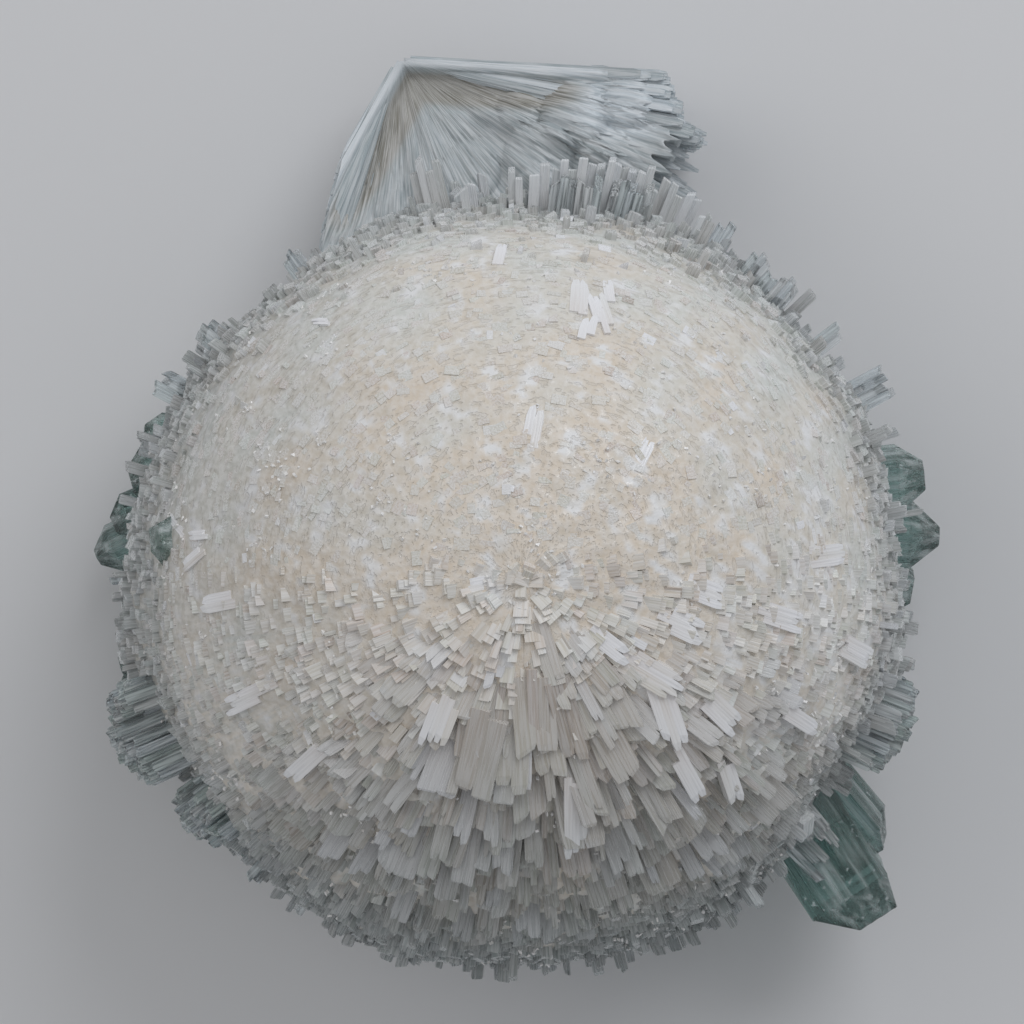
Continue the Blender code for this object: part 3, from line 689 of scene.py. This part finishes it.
def prisms_on_green(prisms):
    """The clear prisms that grew against the upper face of the large green crystal."""
    for foot, heading, rise, length, width, depth in PRISMS_ON_GREEN:
        parts = 3
        axis = directions(np.full(parts, heading), np.full(parts, rise))
        across = side_axes(axis, np.zeros(parts))[0]
        side = (np.arange(parts) - 1)[:, None] * width / parts
        prisms.add(
            np.array(foot) + across * side, axis, length - 0.7 * np.abs(np.arange(parts) - 1.2),
            width / parts * 1.02, depth * (0.8 + 0.1 * np.arange(parts)), 0, 0.9, 0.55,
            bevel=0.3, cap=0.5, tint=0.95,
        )


def ball_core(prisms):
    """The closed mass under the prisms, with the flat cut that it rests on."""
    turns, rows, rings = 400, 190, 12
    turn = np.linspace(0, 2 * math.pi, turns, endpoint=False)
    angle = math.radians(CORE_SPREAD) * (np.arange(rows)[:, None] + 0.5) / rows
    axis = np.stack([np.sin(angle) * np.cos(turn), np.sin(angle) * np.sin(turn),
                     np.cos(angle) + 0 * turn], -1)
    shell = BALL_CENTRE + axis * core_radius(axis)[..., None]
    shell[..., 2] = np.maximum(shell[..., 2], 0)
    rim, middle = (place * np.array([1, 1, 0]) for place in (shell[-1], BALL_CENTRE))
    share = 1 - np.arange(1, rings)[:, None, None] / rings
    points = np.concatenate([shell, middle + (rim - middle) * share]).reshape(-1, 3)
    top = np.arange(turns)
    bottom = len(points) - 1 - top
    faces = np.concatenate([ring_faces(len(points) // turns, turns, outward=False),
                            cap_faces(top), cap_faces(bottom)])
    from_centre = points - BALL_CENTRE
    polar = np.arccos(np.clip(normalised(from_centre)[:, 2], -1, 1)) * BALL_REACH
    around = np.arctan2(from_centre[:, 0], from_centre[:, 1]) * 24
    local = np.stack([polar, around, np.full(len(points), -0.5)], -1)
    prisms.add_grid(points, local, faces, 0.6, 0)


def fan_reach(heading):
    """Length of the fan at this heading."""
    return np.interp(heading, FAN_REACH_AT, FAN_REACH)


def fan_stop_at_ball(axis, reach, overlap):
    """The same reach, but no further than this overlap inside the ball."""
    offset = BALL_CENTRE - FAN_APEX
    along = axis @ offset
    inside = FAN_MEETS_BALL_AT ** 2 - offset @ offset + along ** 2
    hits = (inside > 0) & (along > 0)
    to_ball = np.where(hits, along - np.sqrt(np.maximum(inside, 0)), 1e6)
    return np.minimum(reach, to_ball + overlap)


def fan_edge(heading, out):
    """Distance in mm from the straight left and upper edges."""
    left = out * np.sin(np.radians(np.maximum(heading - FAN_HEADINGS[0], 0)))
    upper = out * np.sin(np.radians(np.maximum(FAN_HEADINGS[1] - heading, 0)))
    return np.minimum(left, upper)


def fan_lumps(points):
    """Height of the rounded lumps over these points of the upper face."""
    height = np.zeros(points.shape[:-1])
    for heading, out, size, lift in FAN_LUMPS:
        middle = FAN_APEX + out * directions(heading, 0)
        apart = np.hypot(points[..., 0] - middle[0], points[..., 1] - middle[1]) / size
        height += lift * np.sqrt(np.maximum(1 - apart ** 2, 0))
    return height


def fan_out(heading, share, side):
    """Distance from the apex for each share of the fan's length, with a ragged far end."""
    axis = directions(heading, np.full(heading.shape, 4 * side))
    uneven = 1.4 + 0.6 * np.sin(heading * 1.9) + 0.5 * cells(heading / 0.45, heading * 0, 74)
    ragged = 1 - 0.05 * uneven * smooth_share(heading, -40, -30)
    reach = fan_stop_at_ball(axis.reshape(-1, 3), (fan_reach(heading) * ragged).ravel(), 2)
    return reach.reshape(heading.shape) * share


def fan_side(heading, share, side):
    """Upper (side 1) or lower (side -1) face of the fan, with wall and hollow shares."""
    out = fan_out(heading, share, side)
    edge = fan_edge(heading, out)
    wall = np.clip(1.5 - edge, 0, 1) * np.clip((24 - out) / 4, 0, 1)
    hollow = np.clip(edge - 0.9, 0, 1) * np.clip((5.4 - edge) / 2, 0, 1) * np.clip((22 - out) / 8, 0, 1)
    field = np.stack([heading * 0.22, out * 0.3, heading * 0 + side], -1)
    fibres = cells(heading / 1.3, out / 4, 71) * 0.14 + cells(heading / 0.6, out / 2.5, 73) * 0.1
    fibres += waves(field, 0.9, 72) * 0.45 + waves(field, 2.2, 75) * 0.35
    slope = math.tan(math.radians(FAN_RISES[1] if side > 0 else -FAN_RISES[0]))
    height = FAN_HALF_THICKNESS + out * slope + fibres * np.clip(out / 14, 0, 1) * (1 - wall)
    height += 0.35 * wall - 0.9 * hollow
    points = FAN_APEX + directions(heading, np.zeros(heading.shape)) * out[..., None]
    if side > 0:
        height += fan_lumps(points)
    points[..., 2] += side * height
    return points, out, wall, hollow


def fan_mass(prisms):
    """The closed mass of the second spray: a wall along two edges with a painted highlight, a hollow
    inside it with painted shade.
    """
    across, along = 240, 80
    heading = np.linspace(FAN_HEADINGS[1], FAN_HEADINGS[0], across)[None] + np.zeros((along, 1))
    share = (0.02 + 0.98 * np.linspace(0, 1, along)[:, None]) + 0 * heading
    top, low = fan_side(heading, share, 1), fan_side(heading[:, ::-1], share, -1)
    points, out, wall, hollow = (np.concatenate(pair, 1) for pair in zip(top, low))
    turns = 2 * across
    end = (along - 1) * turns
    caps = [(turns - 1 - k, turns - 2 - k, k + 1, k) for k in range(across - 1)]
    caps += [(end + k, end + k + 1, end + turns - 2 - k, end + turns - 1 - k) for k in range(across - 1)]
    faces = np.concatenate([ring_faces(along, turns), np.array(caps)])
    spread = np.concatenate([heading, heading[:, ::-1]], 1)
    local = np.stack([spread * 0.3, spread * 0, out - 12], -1).reshape(-1, 3)
    # Painted highlight on the wall and painted shade in the hollow, through tone and tint.
    tone = 0.5 + 0.45 * wall - 0.5 * hollow
    tint = 0.55 + 0.4 * wall - 1.1 * hollow
    prisms.add_grid(points.reshape(-1, 3), local, faces, tone.ravel(), 0, tint.ravel())


def fan_blades(prisms):
    """Blades that stand a little out of the mass, the fibres of its ends and its fingers."""
    draw = default_rng(21)
    n = FAN_BLADES
    heading = draw.uniform(FAN_HEADINGS[0] + 12, FAN_HEADINGS[1] - 12, n)
    rise = FAN_RISES[0] + (FAN_RISES[1] + 0.4 - FAN_RISES[0]) * draw.uniform(size=n) ** 0.45
    axis = directions(heading, rise)
    reach = fan_reach(heading) * (1 - 0.5 * draw.uniform(size=n) * (rise > 3))
    reach *= 1 - 0.12 * smooth_share(heading, -40, -30) * draw.uniform(0.5, 1.2, n)
    reach = fan_stop_at_ball(axis, reach + draw.uniform(-0.8, 0.6, n), 0.8)
    width = draw.uniform(0.6, 1.8, n)
    prisms.add(
        FAN_APEX + axis * BLADES_FROM, axis, reach - BLADES_FROM, width, draw.uniform(0.5, 1.1, n),
        draw.normal(0, 10, n), scattered(draw, 0.5, 0.1, n), draw.uniform(0, 0.25, n),
        foot_share=0.3, bevel=0.5, cap=1,
        tint=draw.uniform(0.45, 0.7, n), tilt=tilts(draw, 0.5, 0.3, n),
    )
    for edge, turn in ((FAN_HEADINGS[0], 1), (FAN_HEADINGS[1], -1)):
        fan_wall_fibres(prisms, draw, edge, turn)
    for heading, reach, width in FAN_FINGERS:
        for rise in FINGER_RISES:
            aside = draw.uniform(-1.2, 1.2)
            fan_finger(prisms, draw, heading + aside, rise, reach - draw.uniform(0, 2), width)


def fan_wall_fibres(prisms, draw, edge, turn):
    """Fibres packed side by side on one straight outer face and its broken end."""
    n = FAN_WALL_FIBRES
    share = np.linspace(-1, 1, n)
    rise = np.where(share > 0, FAN_RISES[1] * share, -FAN_RISES[0] * share)
    rise = rise + draw.normal(0, 0.2, n)
    on_end = draw.uniform(size=n) < 0.75
    heading = edge + turn * np.where(on_end, draw.uniform(0.2, 12, n), draw.uniform(0.1, 0.8, n))
    axis = directions(heading, np.where(on_end, rise * 0.95, rise))
    reach = fan_reach(heading) * np.where(on_end, draw.uniform(0.98, 1.05, n), draw.uniform(0.9, 1, n))
    reach = fan_stop_at_ball(axis, reach, 0.8)
    foot = FAN_APEX + axis * WALL_FIBRES_FROM
    foot[:, 2] += 1.2 * share
    prisms.add(
        foot, axis, reach - WALL_FIBRES_FROM, draw.uniform(0.5, 1.1, n),
        draw.uniform(0.3, 0.6, n) * np.where(on_end, 1.6, 1), draw.normal(0, 8, n),
        draw.uniform(0.6, 1, n), draw.uniform(0, 0.2, n), foot_share=0.6, bevel=0.3, cap=0.8,
        tint=draw.uniform(0.5, 0.95, n),
    )


def fan_finger(prisms, draw, heading, rise, reach, width):
    """One pointed end: a thick blade between two shorter ones."""
    aside = np.array([-0.8, 0, 0.75])
    axis = directions(heading + aside * math.degrees(width / 2 / reach), rise + aside)
    length = reach - FINGERS_FROM - np.array([2.6, 0, 1.6]) - draw.uniform(0, 0.5, 3)
    prisms.add(
        FAN_APEX + axis * FINGERS_FROM, axis, length, width * np.array([0.7, 1, 0.7]), width * 0.7,
        draw.normal(0, 6, 3), draw.uniform(0.6, 0.9, 3), draw.uniform(0.1, 0.4, 3),
        foot_share=0.9, bevel=0.8, cap=2.8, tint=draw.uniform(0.6, 0.9, 3),
    )


def crystal_outline(width, depth, draw, per_side=10):
    """A square section with fine grooves and steps along its sides."""
    corners = np.array([(-1, -1), (1, -1), (1, 1), (-1, 1)], float)
    share = (np.arange(per_side) / per_side)[:, None]
    outline = []
    for start, end in zip(corners, np.roll(corners, -1, 0)):
        inward = np.array([start[1] - end[1], end[0] - start[0]]) / 2
        groove = draw.choice([0, 0.02, 0.05, 0.09], per_side) * (np.arange(per_side) > 0)
        outline.append(start + (end - start) * share + inward * groove[:, None])
    return np.concatenate(outline) * np.array([width / 2, depth / 2])


def crystal_levels(width, length, point, blunt):
    """Height, share of the section and share of the skew for each ring, foot to end."""
    shoulder = length - point * width
    step = shoulder * 0.6
    return [
        (0, 1, 0), (step, 1, 0), (step + 0.12, 0.97, 0), (shoulder, 0.97, 0),
        (shoulder + 0.08 * (length - shoulder), 0.92, 0.1), (length - 0.1, blunt + 0.04, 1),
        (length, blunt, 1),
    ]


def green_crystal(prisms, shape, seed):
    """One striated crystal under a blunt pyramid, as a closed stack of rings."""
    foot, heading, rise, width, depth, length, twist, point, blunt, skew = shape
    draw = default_rng(seed)
    along, across, over = crystal_axes(heading, rise, twist)
    outline = crystal_outline(width, depth, draw)
    count = len(outline)
    levels = crystal_levels(width, length, point, blunt)
    points, local = [], []
    for height, share, shifted in levels:
        x = outline[:, 0] * share + shifted * skew * width
        y = outline[:, 1] * share
        points.append(np.array(foot) + across * x[:, None] + over * y[:, None] + along * height)
        local.append(np.stack([x + seed, y - seed, np.full(count, height - length)], -1))
    top = (len(levels) - 1) * count + np.arange(count)
    bottom = np.arange(count)[::-1]
    faces = np.concatenate([ring_faces(len(levels), count), cap_faces(top), cap_faces(bottom)])
    prisms.add_grid(np.concatenate(points), np.concatenate(local), faces, draw.uniform(0.2, 0.8), 1)


class Nodes:
    """Short names for building one material's node tree."""

    def __init__(self, name):
        self.material = bpy.data.materials.new(name)
        self.material.use_nodes = True
        self.tree = self.material.node_tree

    def put(self, socket, value):
        if isinstance(value, bpy.types.NodeSocket):
            self.tree.links.new(value, socket)
        else:
            socket.default_value = value

    def set(self, node, **inputs):
        for key, value in inputs.items():
            self.put(node.inputs[key.replace("_", " ")], value)

    def node(self, kind, **inputs):
        made = self.tree.nodes.new("ShaderNode" + kind)
        self.set(made, **inputs)
        return made

    def shader(self, **inputs):
        """Sets the surface and gives the finished material."""
        self.set(self.tree.nodes["Principled BSDF"], **inputs)
        return self.material

    def position(self):
        return self.node("NewGeometry").outputs["Position"]

    def attribute(self, name, kind="Fac"):
        made = self.node("Attribute")
        made.attribute_name = name
        return made.outputs[kind]

    def part(self, vector, index):
        return self.node("SeparateXYZ", Vector=vector).outputs[index]

    def math(self, operation, a, b):
        made = self.node("Math")
        made.operation = operation
        self.put(made.inputs[0], a)
        self.put(made.inputs[1], b)
        return made.outputs[0]

    def ramp(self, value, low, high, to_low=0, to_high=1):
        return self.node("MapRange", Value=value, From_Min=low, From_Max=high, To_Min=to_low,
                         To_Max=to_high).outputs[0]

    def mix(self, factor, first, second):
        made = self.node("Mix")
        made.data_type = "RGBA"
        self.put(made.inputs[0], factor)
        for socket, value in ((made.inputs[6], first), (made.inputs[7], second)):
            self.put(socket, value if isinstance(value, bpy.types.NodeSocket) else (*value, 1))
        return made.outputs[2]

    def noise(self, vector, scale, detail):
        return self.node("TexNoise", Vector=vector, Scale=scale, Detail=detail).outputs["Fac"]

    def stretched(self, vector, stretch, detail=1):
        """Noise that is drawn out along the axes with a small factor."""
        mapped = self.node("Mapping", Vector=vector, Scale=stretch).outputs[0]
        return self.noise(mapped, 1, detail)

    def bump(self, height, distance, strength):
        return self.node("Bump", Height=height, Distance=distance, Strength=strength).outputs[0]


def milky_colour(points, warm, cool):
    """Creamy in the middle and cooler to the rim, with whiter patches, mostly on the right, and painted
    shade that darkens it towards the rim and the left side.
    """
    far = np.linalg.norm(points - TOP_OF_DOME, axis=1)
    right = np.linalg.norm(points - WHITE_SIDE, axis=1)
    share = (far - 14) / 30 + 0.3 * waves(points, 0.55, 61)
    white = waves(points, 1.5, 62) + 0.6 * waves(points, 4, 63) + 0.7 * np.clip((22 - right) / 16, 0, 1)
    colour = blend(warm, cool, np.clip(share, 0, 1))
    colour = blend(colour, PATCH_WHITE, smooth_share(white, 0.4, 1.5))
    colour = blend(colour, PATCH_BROWN, 0.5 * smooth_share(waves(points, 1.9, 66), 0.2, 1.4))
    # Painted shade: darker towards the rim and the left side, where less light falls.
    shade = 0.34 * smooth_share(from_middle(points), 30, 41)
    shade = shade + 0.2 * smooth_share(-points[:, 0], 6, 30)
    return colour * (1 - shade)[:, None]


def from_middle(points):
    """Level distance from the middle of the dome."""
    return np.hypot(points[:, 0] - BALL_CENTRE[0], points[:, 1] - BALL_CENTRE[1])


def skin_colours(points, tone, tint, below):
    """The mass has the milky colour as it is."""
    return milky_colour(points, SKIN_WARM, SKIN_COOL)


def prism_colours(points, tone, tint, below):
    """Each prism has its own tint and tone. Painted shade makes it browner towards its root and where it
    lies deep, darker on the foot side, and greyer towards the rim, where the grey is partly the clearer
    mineral.
    """
    hue = (7 * tone + 5 * tint) % 1
    own = blend(blend(PEACH, PALE_GREEN, hue), ICE, np.clip(tint * 1.5 - 0.4, 0, 1))
    colour = 0.5 * milky_colour(points, PRISM_WARM, PRISM_COOL) + 0.5 * own
    colour = blend(colour, BRIGHT_WHITE, smooth_share(tint, 0.72, 0.95))
    # Painted shade: browner where the tint is low, as on the deeper-lying shingles.
    colour = blend(colour, DEEP_PAINTED_SHADE, smooth_share(-tint, -0.35, 0.05))
    # Painted shade: browner towards the root.
    colour = blend(colour, ROOT_PAINTED_SHADE, 0.5 * smooth_share(-below, 1, 7))
    # Painted shade: darker on the foot side, where less light falls.
    foot_side = smooth_share(-points[:, 1], 8, 42)[:, None]
    colour = colour * (1 - foot_side * (1 - FOOT_SIDE_SHADE))
    # Greyer towards the rim: partly painted shade, partly the clearer mineral there.
    colour = blend(colour, RIM_GREY, 0.45 * smooth_share(from_middle(points), 32, 38))
    return colour * (0.86 + 0.18 * tone)[:, None]


def glass_colours(points, tone, tint, below):
    """Clear prisms: faintly green or blue, and the brightest ones nearly white."""
    return blend(blend(CLEAR_GREEN, CLEAR_BLUE, tint), CLEAR_WHITE, smooth_share(tone, 0.6, 1))


def fan_colours(points, tone, tint, below):
    """The second spray: painted highlight on the walls, painted shade in the hollow and one bluish white
    place.
    """
    colour = prism_colours(points, tone, np.maximum(tint, 0.3), below * 0)
    bright = np.linalg.norm((points[:, :2] - FAN_BRIGHT_PLACE) / FAN_BRIGHT_SIZE, axis=1)
    colour = blend(colour, FAN_WHITE, 0.8 * smooth_share(-bright, -1.2, -0.5))
    # Painted shade in the hollow.
    colour = blend(colour, FAN_HOLLOW_PAINTED_SHADE, smooth_share(-tint, -0.35, 0.2))
    # Painted highlight on the wall, where the tint is high.
    return colour * blend(FAN_GREY, FAN_WALL_PAINTED_HIGHLIGHT, smooth_share(tint, 0.75, 0.95))


def green_colours(points, tone, tint, below):
    """Each green crystal has one tone."""
    return blend(GREEN_DARK, GREEN_PALE, tone)


def skin_material():
    """The smooth side: milky and finely speckled, with thin gaps between prism ends that carry painted
    shade.
    """
    m = Nodes("scolecite_milky_mass")
    place = m.position()
    local = m.attribute("local", "Vector")
    foot_side = m.ramp(m.part(place, 1), 0.002, -0.014)
    dashes = m.stretched(local, (2.6, 0.9, 1))
    gap = m.math("MULTIPLY", m.ramp(dashes, 0.58, 0.64), m.math("SUBTRACT", 1, foot_side))
    streaks = m.stretched(local, (0.25, 2.4, 1))
    streaked = m.math("MULTIPLY", foot_side, m.ramp(m.part(local, 0), 6, 18))
    dark = m.math("MULTIPLY", streaked, m.ramp(streaks, 0.62, 0.38, 0, 0.75))
    # Painted shade in the gaps between prism ends.
    colour = m.mix(m.math("MULTIPLY", gap, 0.30), m.attribute("pale", "Color"), GAP_PAINTED_SHADE)
    colour = m.mix(dark, colour, STREAK_BROWN)
    grain = m.noise(place, 1500, 2)
    return m.shader(
        Base_Color=m.mix(m.ramp(grain, 0.35, 0.65, 0, 0.35), colour, GRAIN_WHITE),
        Roughness=m.ramp(grain, 0.60, 0.68, 0.5, 0.12),
        IOR=SCOLECITE_IOR,
        Normal=m.bump(m.math("SUBTRACT", grain, m.math("MULTIPLY", gap, 0.5)), 0.00018, 0.7),
    )


def prism_material(name, glass):
    """Single prisms: silky and striated along their length, clearer at the rim."""
    m = Nodes(name)
    lines = m.stretched(m.attribute("local", "Vector"), (5, 5, 0.25))
    return m.shader(
        Base_Color=m.mix(m.ramp(lines, 0.35, 0.62, 0, 0.4), m.attribute("pale", "Color"), LINE_WHITE),
        Roughness=m.ramp(lines, 0.35, 0.65, 0.16, 0.42),
        Transmission_Weight=m.math("MULTIPLY", m.attribute("clear"), glass),
        IOR=SCOLECITE_IOR,
        Normal=m.bump(lines, 0.00012, 0.6),
    )


def glass_material():
    """The clear prisms of the bundles and of the outline."""
    m = Nodes("scolecite_clear")
    lines = m.stretched(m.attribute("local", "Vector"), (4, 4, 0.2))
    return m.shader(
        Base_Color=m.attribute("pale", "Color"),
        Roughness=m.ramp(lines, 0.35, 0.7, 0.04, 0.25),
        Transmission_Weight=m.ramp(lines, 0.4, 0.65, 0.85, 0.4),
        IOR=SCOLECITE_IOR,
        Normal=m.bump(lines, 0.0001, 0.4),
    )


def chip_material():
    """Glossy splinters, between cream and white."""
    m = Nodes("scolecite_chips")
    fine = m.noise(m.position(), 3000, 1)
    return m.shader(
        Base_Color=m.mix(fine, CHIP_CREAM, CHIP_WHITE),
        Roughness=m.ramp(fine, 0.3, 0.7, 0.04, 0.2),
        IOR=SCOLECITE_IOR,
        Normal=m.bump(fine, 0.00003, 0.4),
    )


def apophyllite_material():
    """Clear green with milky veils, fine lines along each crystal and frost near its foot."""
    m = Nodes("apophyllite_green")
    local = m.attribute("local", "Vector")
    lines = m.stretched(local, (4.5, 4.5, 0.12), 2)
    streaks = m.ramp(m.stretched(local, (0.9, 0.9, 0.1), 2), 0.45, 0.7)
    frost = m.ramp(m.part(local, 2), -9, -20)
    specks = m.ramp(m.noise(m.position(), 1400, 2), 0.62, 0.72)
    veil = m.math("MAXIMUM", m.math("MAXIMUM", streaks, frost), specks)
    absorb = m.node("VolumeAbsorption", Color=GREEN_ABSORBED, Density=GREEN_DENSITY)
    m.put(m.tree.nodes["Material Output"].inputs["Volume"], absorb.outputs[0])
    return m.shader(
        Base_Color=m.mix(veil, m.attribute("pale", "Color"), VEIL_WHITE),
        Roughness=m.ramp(lines, 0.3, 0.7, 0.04, 0.3),
        Transmission_Weight=m.ramp(veil, 0, 1, 0.95, 0.5),
        IOR=APOPHYLLITE_IOR,
        Normal=m.bump(lines, 0.0003, 0.6),
    )


def make_floor():
    """A plain pale floor just under the cut."""
    mesh = bpy.data.meshes.new("floor")
    corners = [(x * FLOOR_HALF, y * FLOOR_HALF, FLOOR_LEVEL) for x, y in zip(CORNER_X, CORNER_Y)]
    mesh.from_pydata(corners, [], [(0, 1, 2, 3)])
    mesh.materials.append(Nodes("floor_pale").shader(Base_Color=FLOOR_GREY, Roughness=0.7))
    floor = placed("floor", mesh)


def soft_light(name, place, size, power, colour):
    """A round soft light that points at the ball."""
    light = bpy.data.lights.new(name, "AREA")
    light.shape = "DISK"
    light.size = size
    light.energy = power
    light.color = colour
    obj = placed(name, light)
    obj.location = place
    aim = LIGHTS_AIM - Vector(place)
    obj.rotation_euler = aim.to_track_quat("-Z", "Y").to_euler()


def make_lights():
    """The lights and the even light from all around."""
    for name, place, size, power, colour in LIGHTS:
        soft_light(name, place, size, power, colour)
    world = bpy.data.worlds.new("studio")
    world.use_nodes = True
    background = world.node_tree.nodes["Background"].inputs
    background["Color"].default_value = AROUND_COLOUR
    background["Strength"].default_value = AROUND_STRENGTH
    bpy.context.scene.world = world
    bpy.context.scene.view_settings.view_transform = "Standard"


def make_camera():
    """Straight above the ball, as the photograph was taken."""
    camera = bpy.data.cameras.new("camera")
    camera.lens = CAMERA_LENS
    camera.sensor_width = CAMERA_SENSOR
    camera.clip_start = 0.01
    obj = placed("camera", camera)
    obj.location = (CAMERA_AIM[0] * MM, CAMERA_AIM[1] * MM, CAMERA_HEIGHT * MM)
    bpy.context.scene.camera = obj


def dress(obj, node):
    """Puts a piece in the place of its solid."""
    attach(obj, "root")
    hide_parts(node)


def make_pieces():
    """Every piece of the two minerals."""
    prism_look = prism_material("scolecite_prisms", 0.6)
    fan_look = prism_material("scolecite_fan_grey", 0.5)
    for name, look, palette, parts in (
        ("ball_mass", skin_material(), skin_colours, (ball_core,)),
        ("ball_long_prisms", prism_look, prism_colours, (shingle_prisms,)),
        ("ball_short_ends", prism_look, prism_colours, (short_ends,)),
        ("ball_rim_prisms", prism_look, prism_colours, (rim_prisms, upright_prisms)),
        ("ball_clear_prisms", glass_material(), glass_colours,
         (standing_prisms, clear_bundles, prisms_on_green)),
        ("ball_bright_plates", prism_look, prism_colours, (bright_plates,)),
        ("ball_chips", chip_material(), prism_colours, (sparkling_chips,)),
        ("fan_mass", fan_look, fan_colours, (fan_mass,)),
        ("fan_blades", fan_look, fan_colours, (fan_blades,)),
    ):
        prisms = Prisms()
        for part in parts:
            part(prisms)
        node = "scolecite_" + name.split("_")[0]
        dress(prisms.make(name, look, palette, name.endswith("mass")), node)

    green_look = apophyllite_material()
    for number, (name, crystals) in enumerate(GREEN_CRYSTALS.items()):
        cluster = Prisms()
        for i, shape in enumerate(crystals):
            green_crystal(cluster, shape, 10 * number + i)
        piece = cluster.make("green_" + name, green_look, green_colours, False)
        dress(piece, "apophyllite_" + name)


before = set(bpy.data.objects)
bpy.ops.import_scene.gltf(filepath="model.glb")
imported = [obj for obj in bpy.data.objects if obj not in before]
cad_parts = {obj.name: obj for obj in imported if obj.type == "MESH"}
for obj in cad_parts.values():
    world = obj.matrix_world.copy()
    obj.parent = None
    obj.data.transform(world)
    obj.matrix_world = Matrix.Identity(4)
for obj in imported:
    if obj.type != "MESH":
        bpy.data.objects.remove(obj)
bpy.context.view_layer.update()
make_pieces()
make_floor()
make_lights()
make_camera()
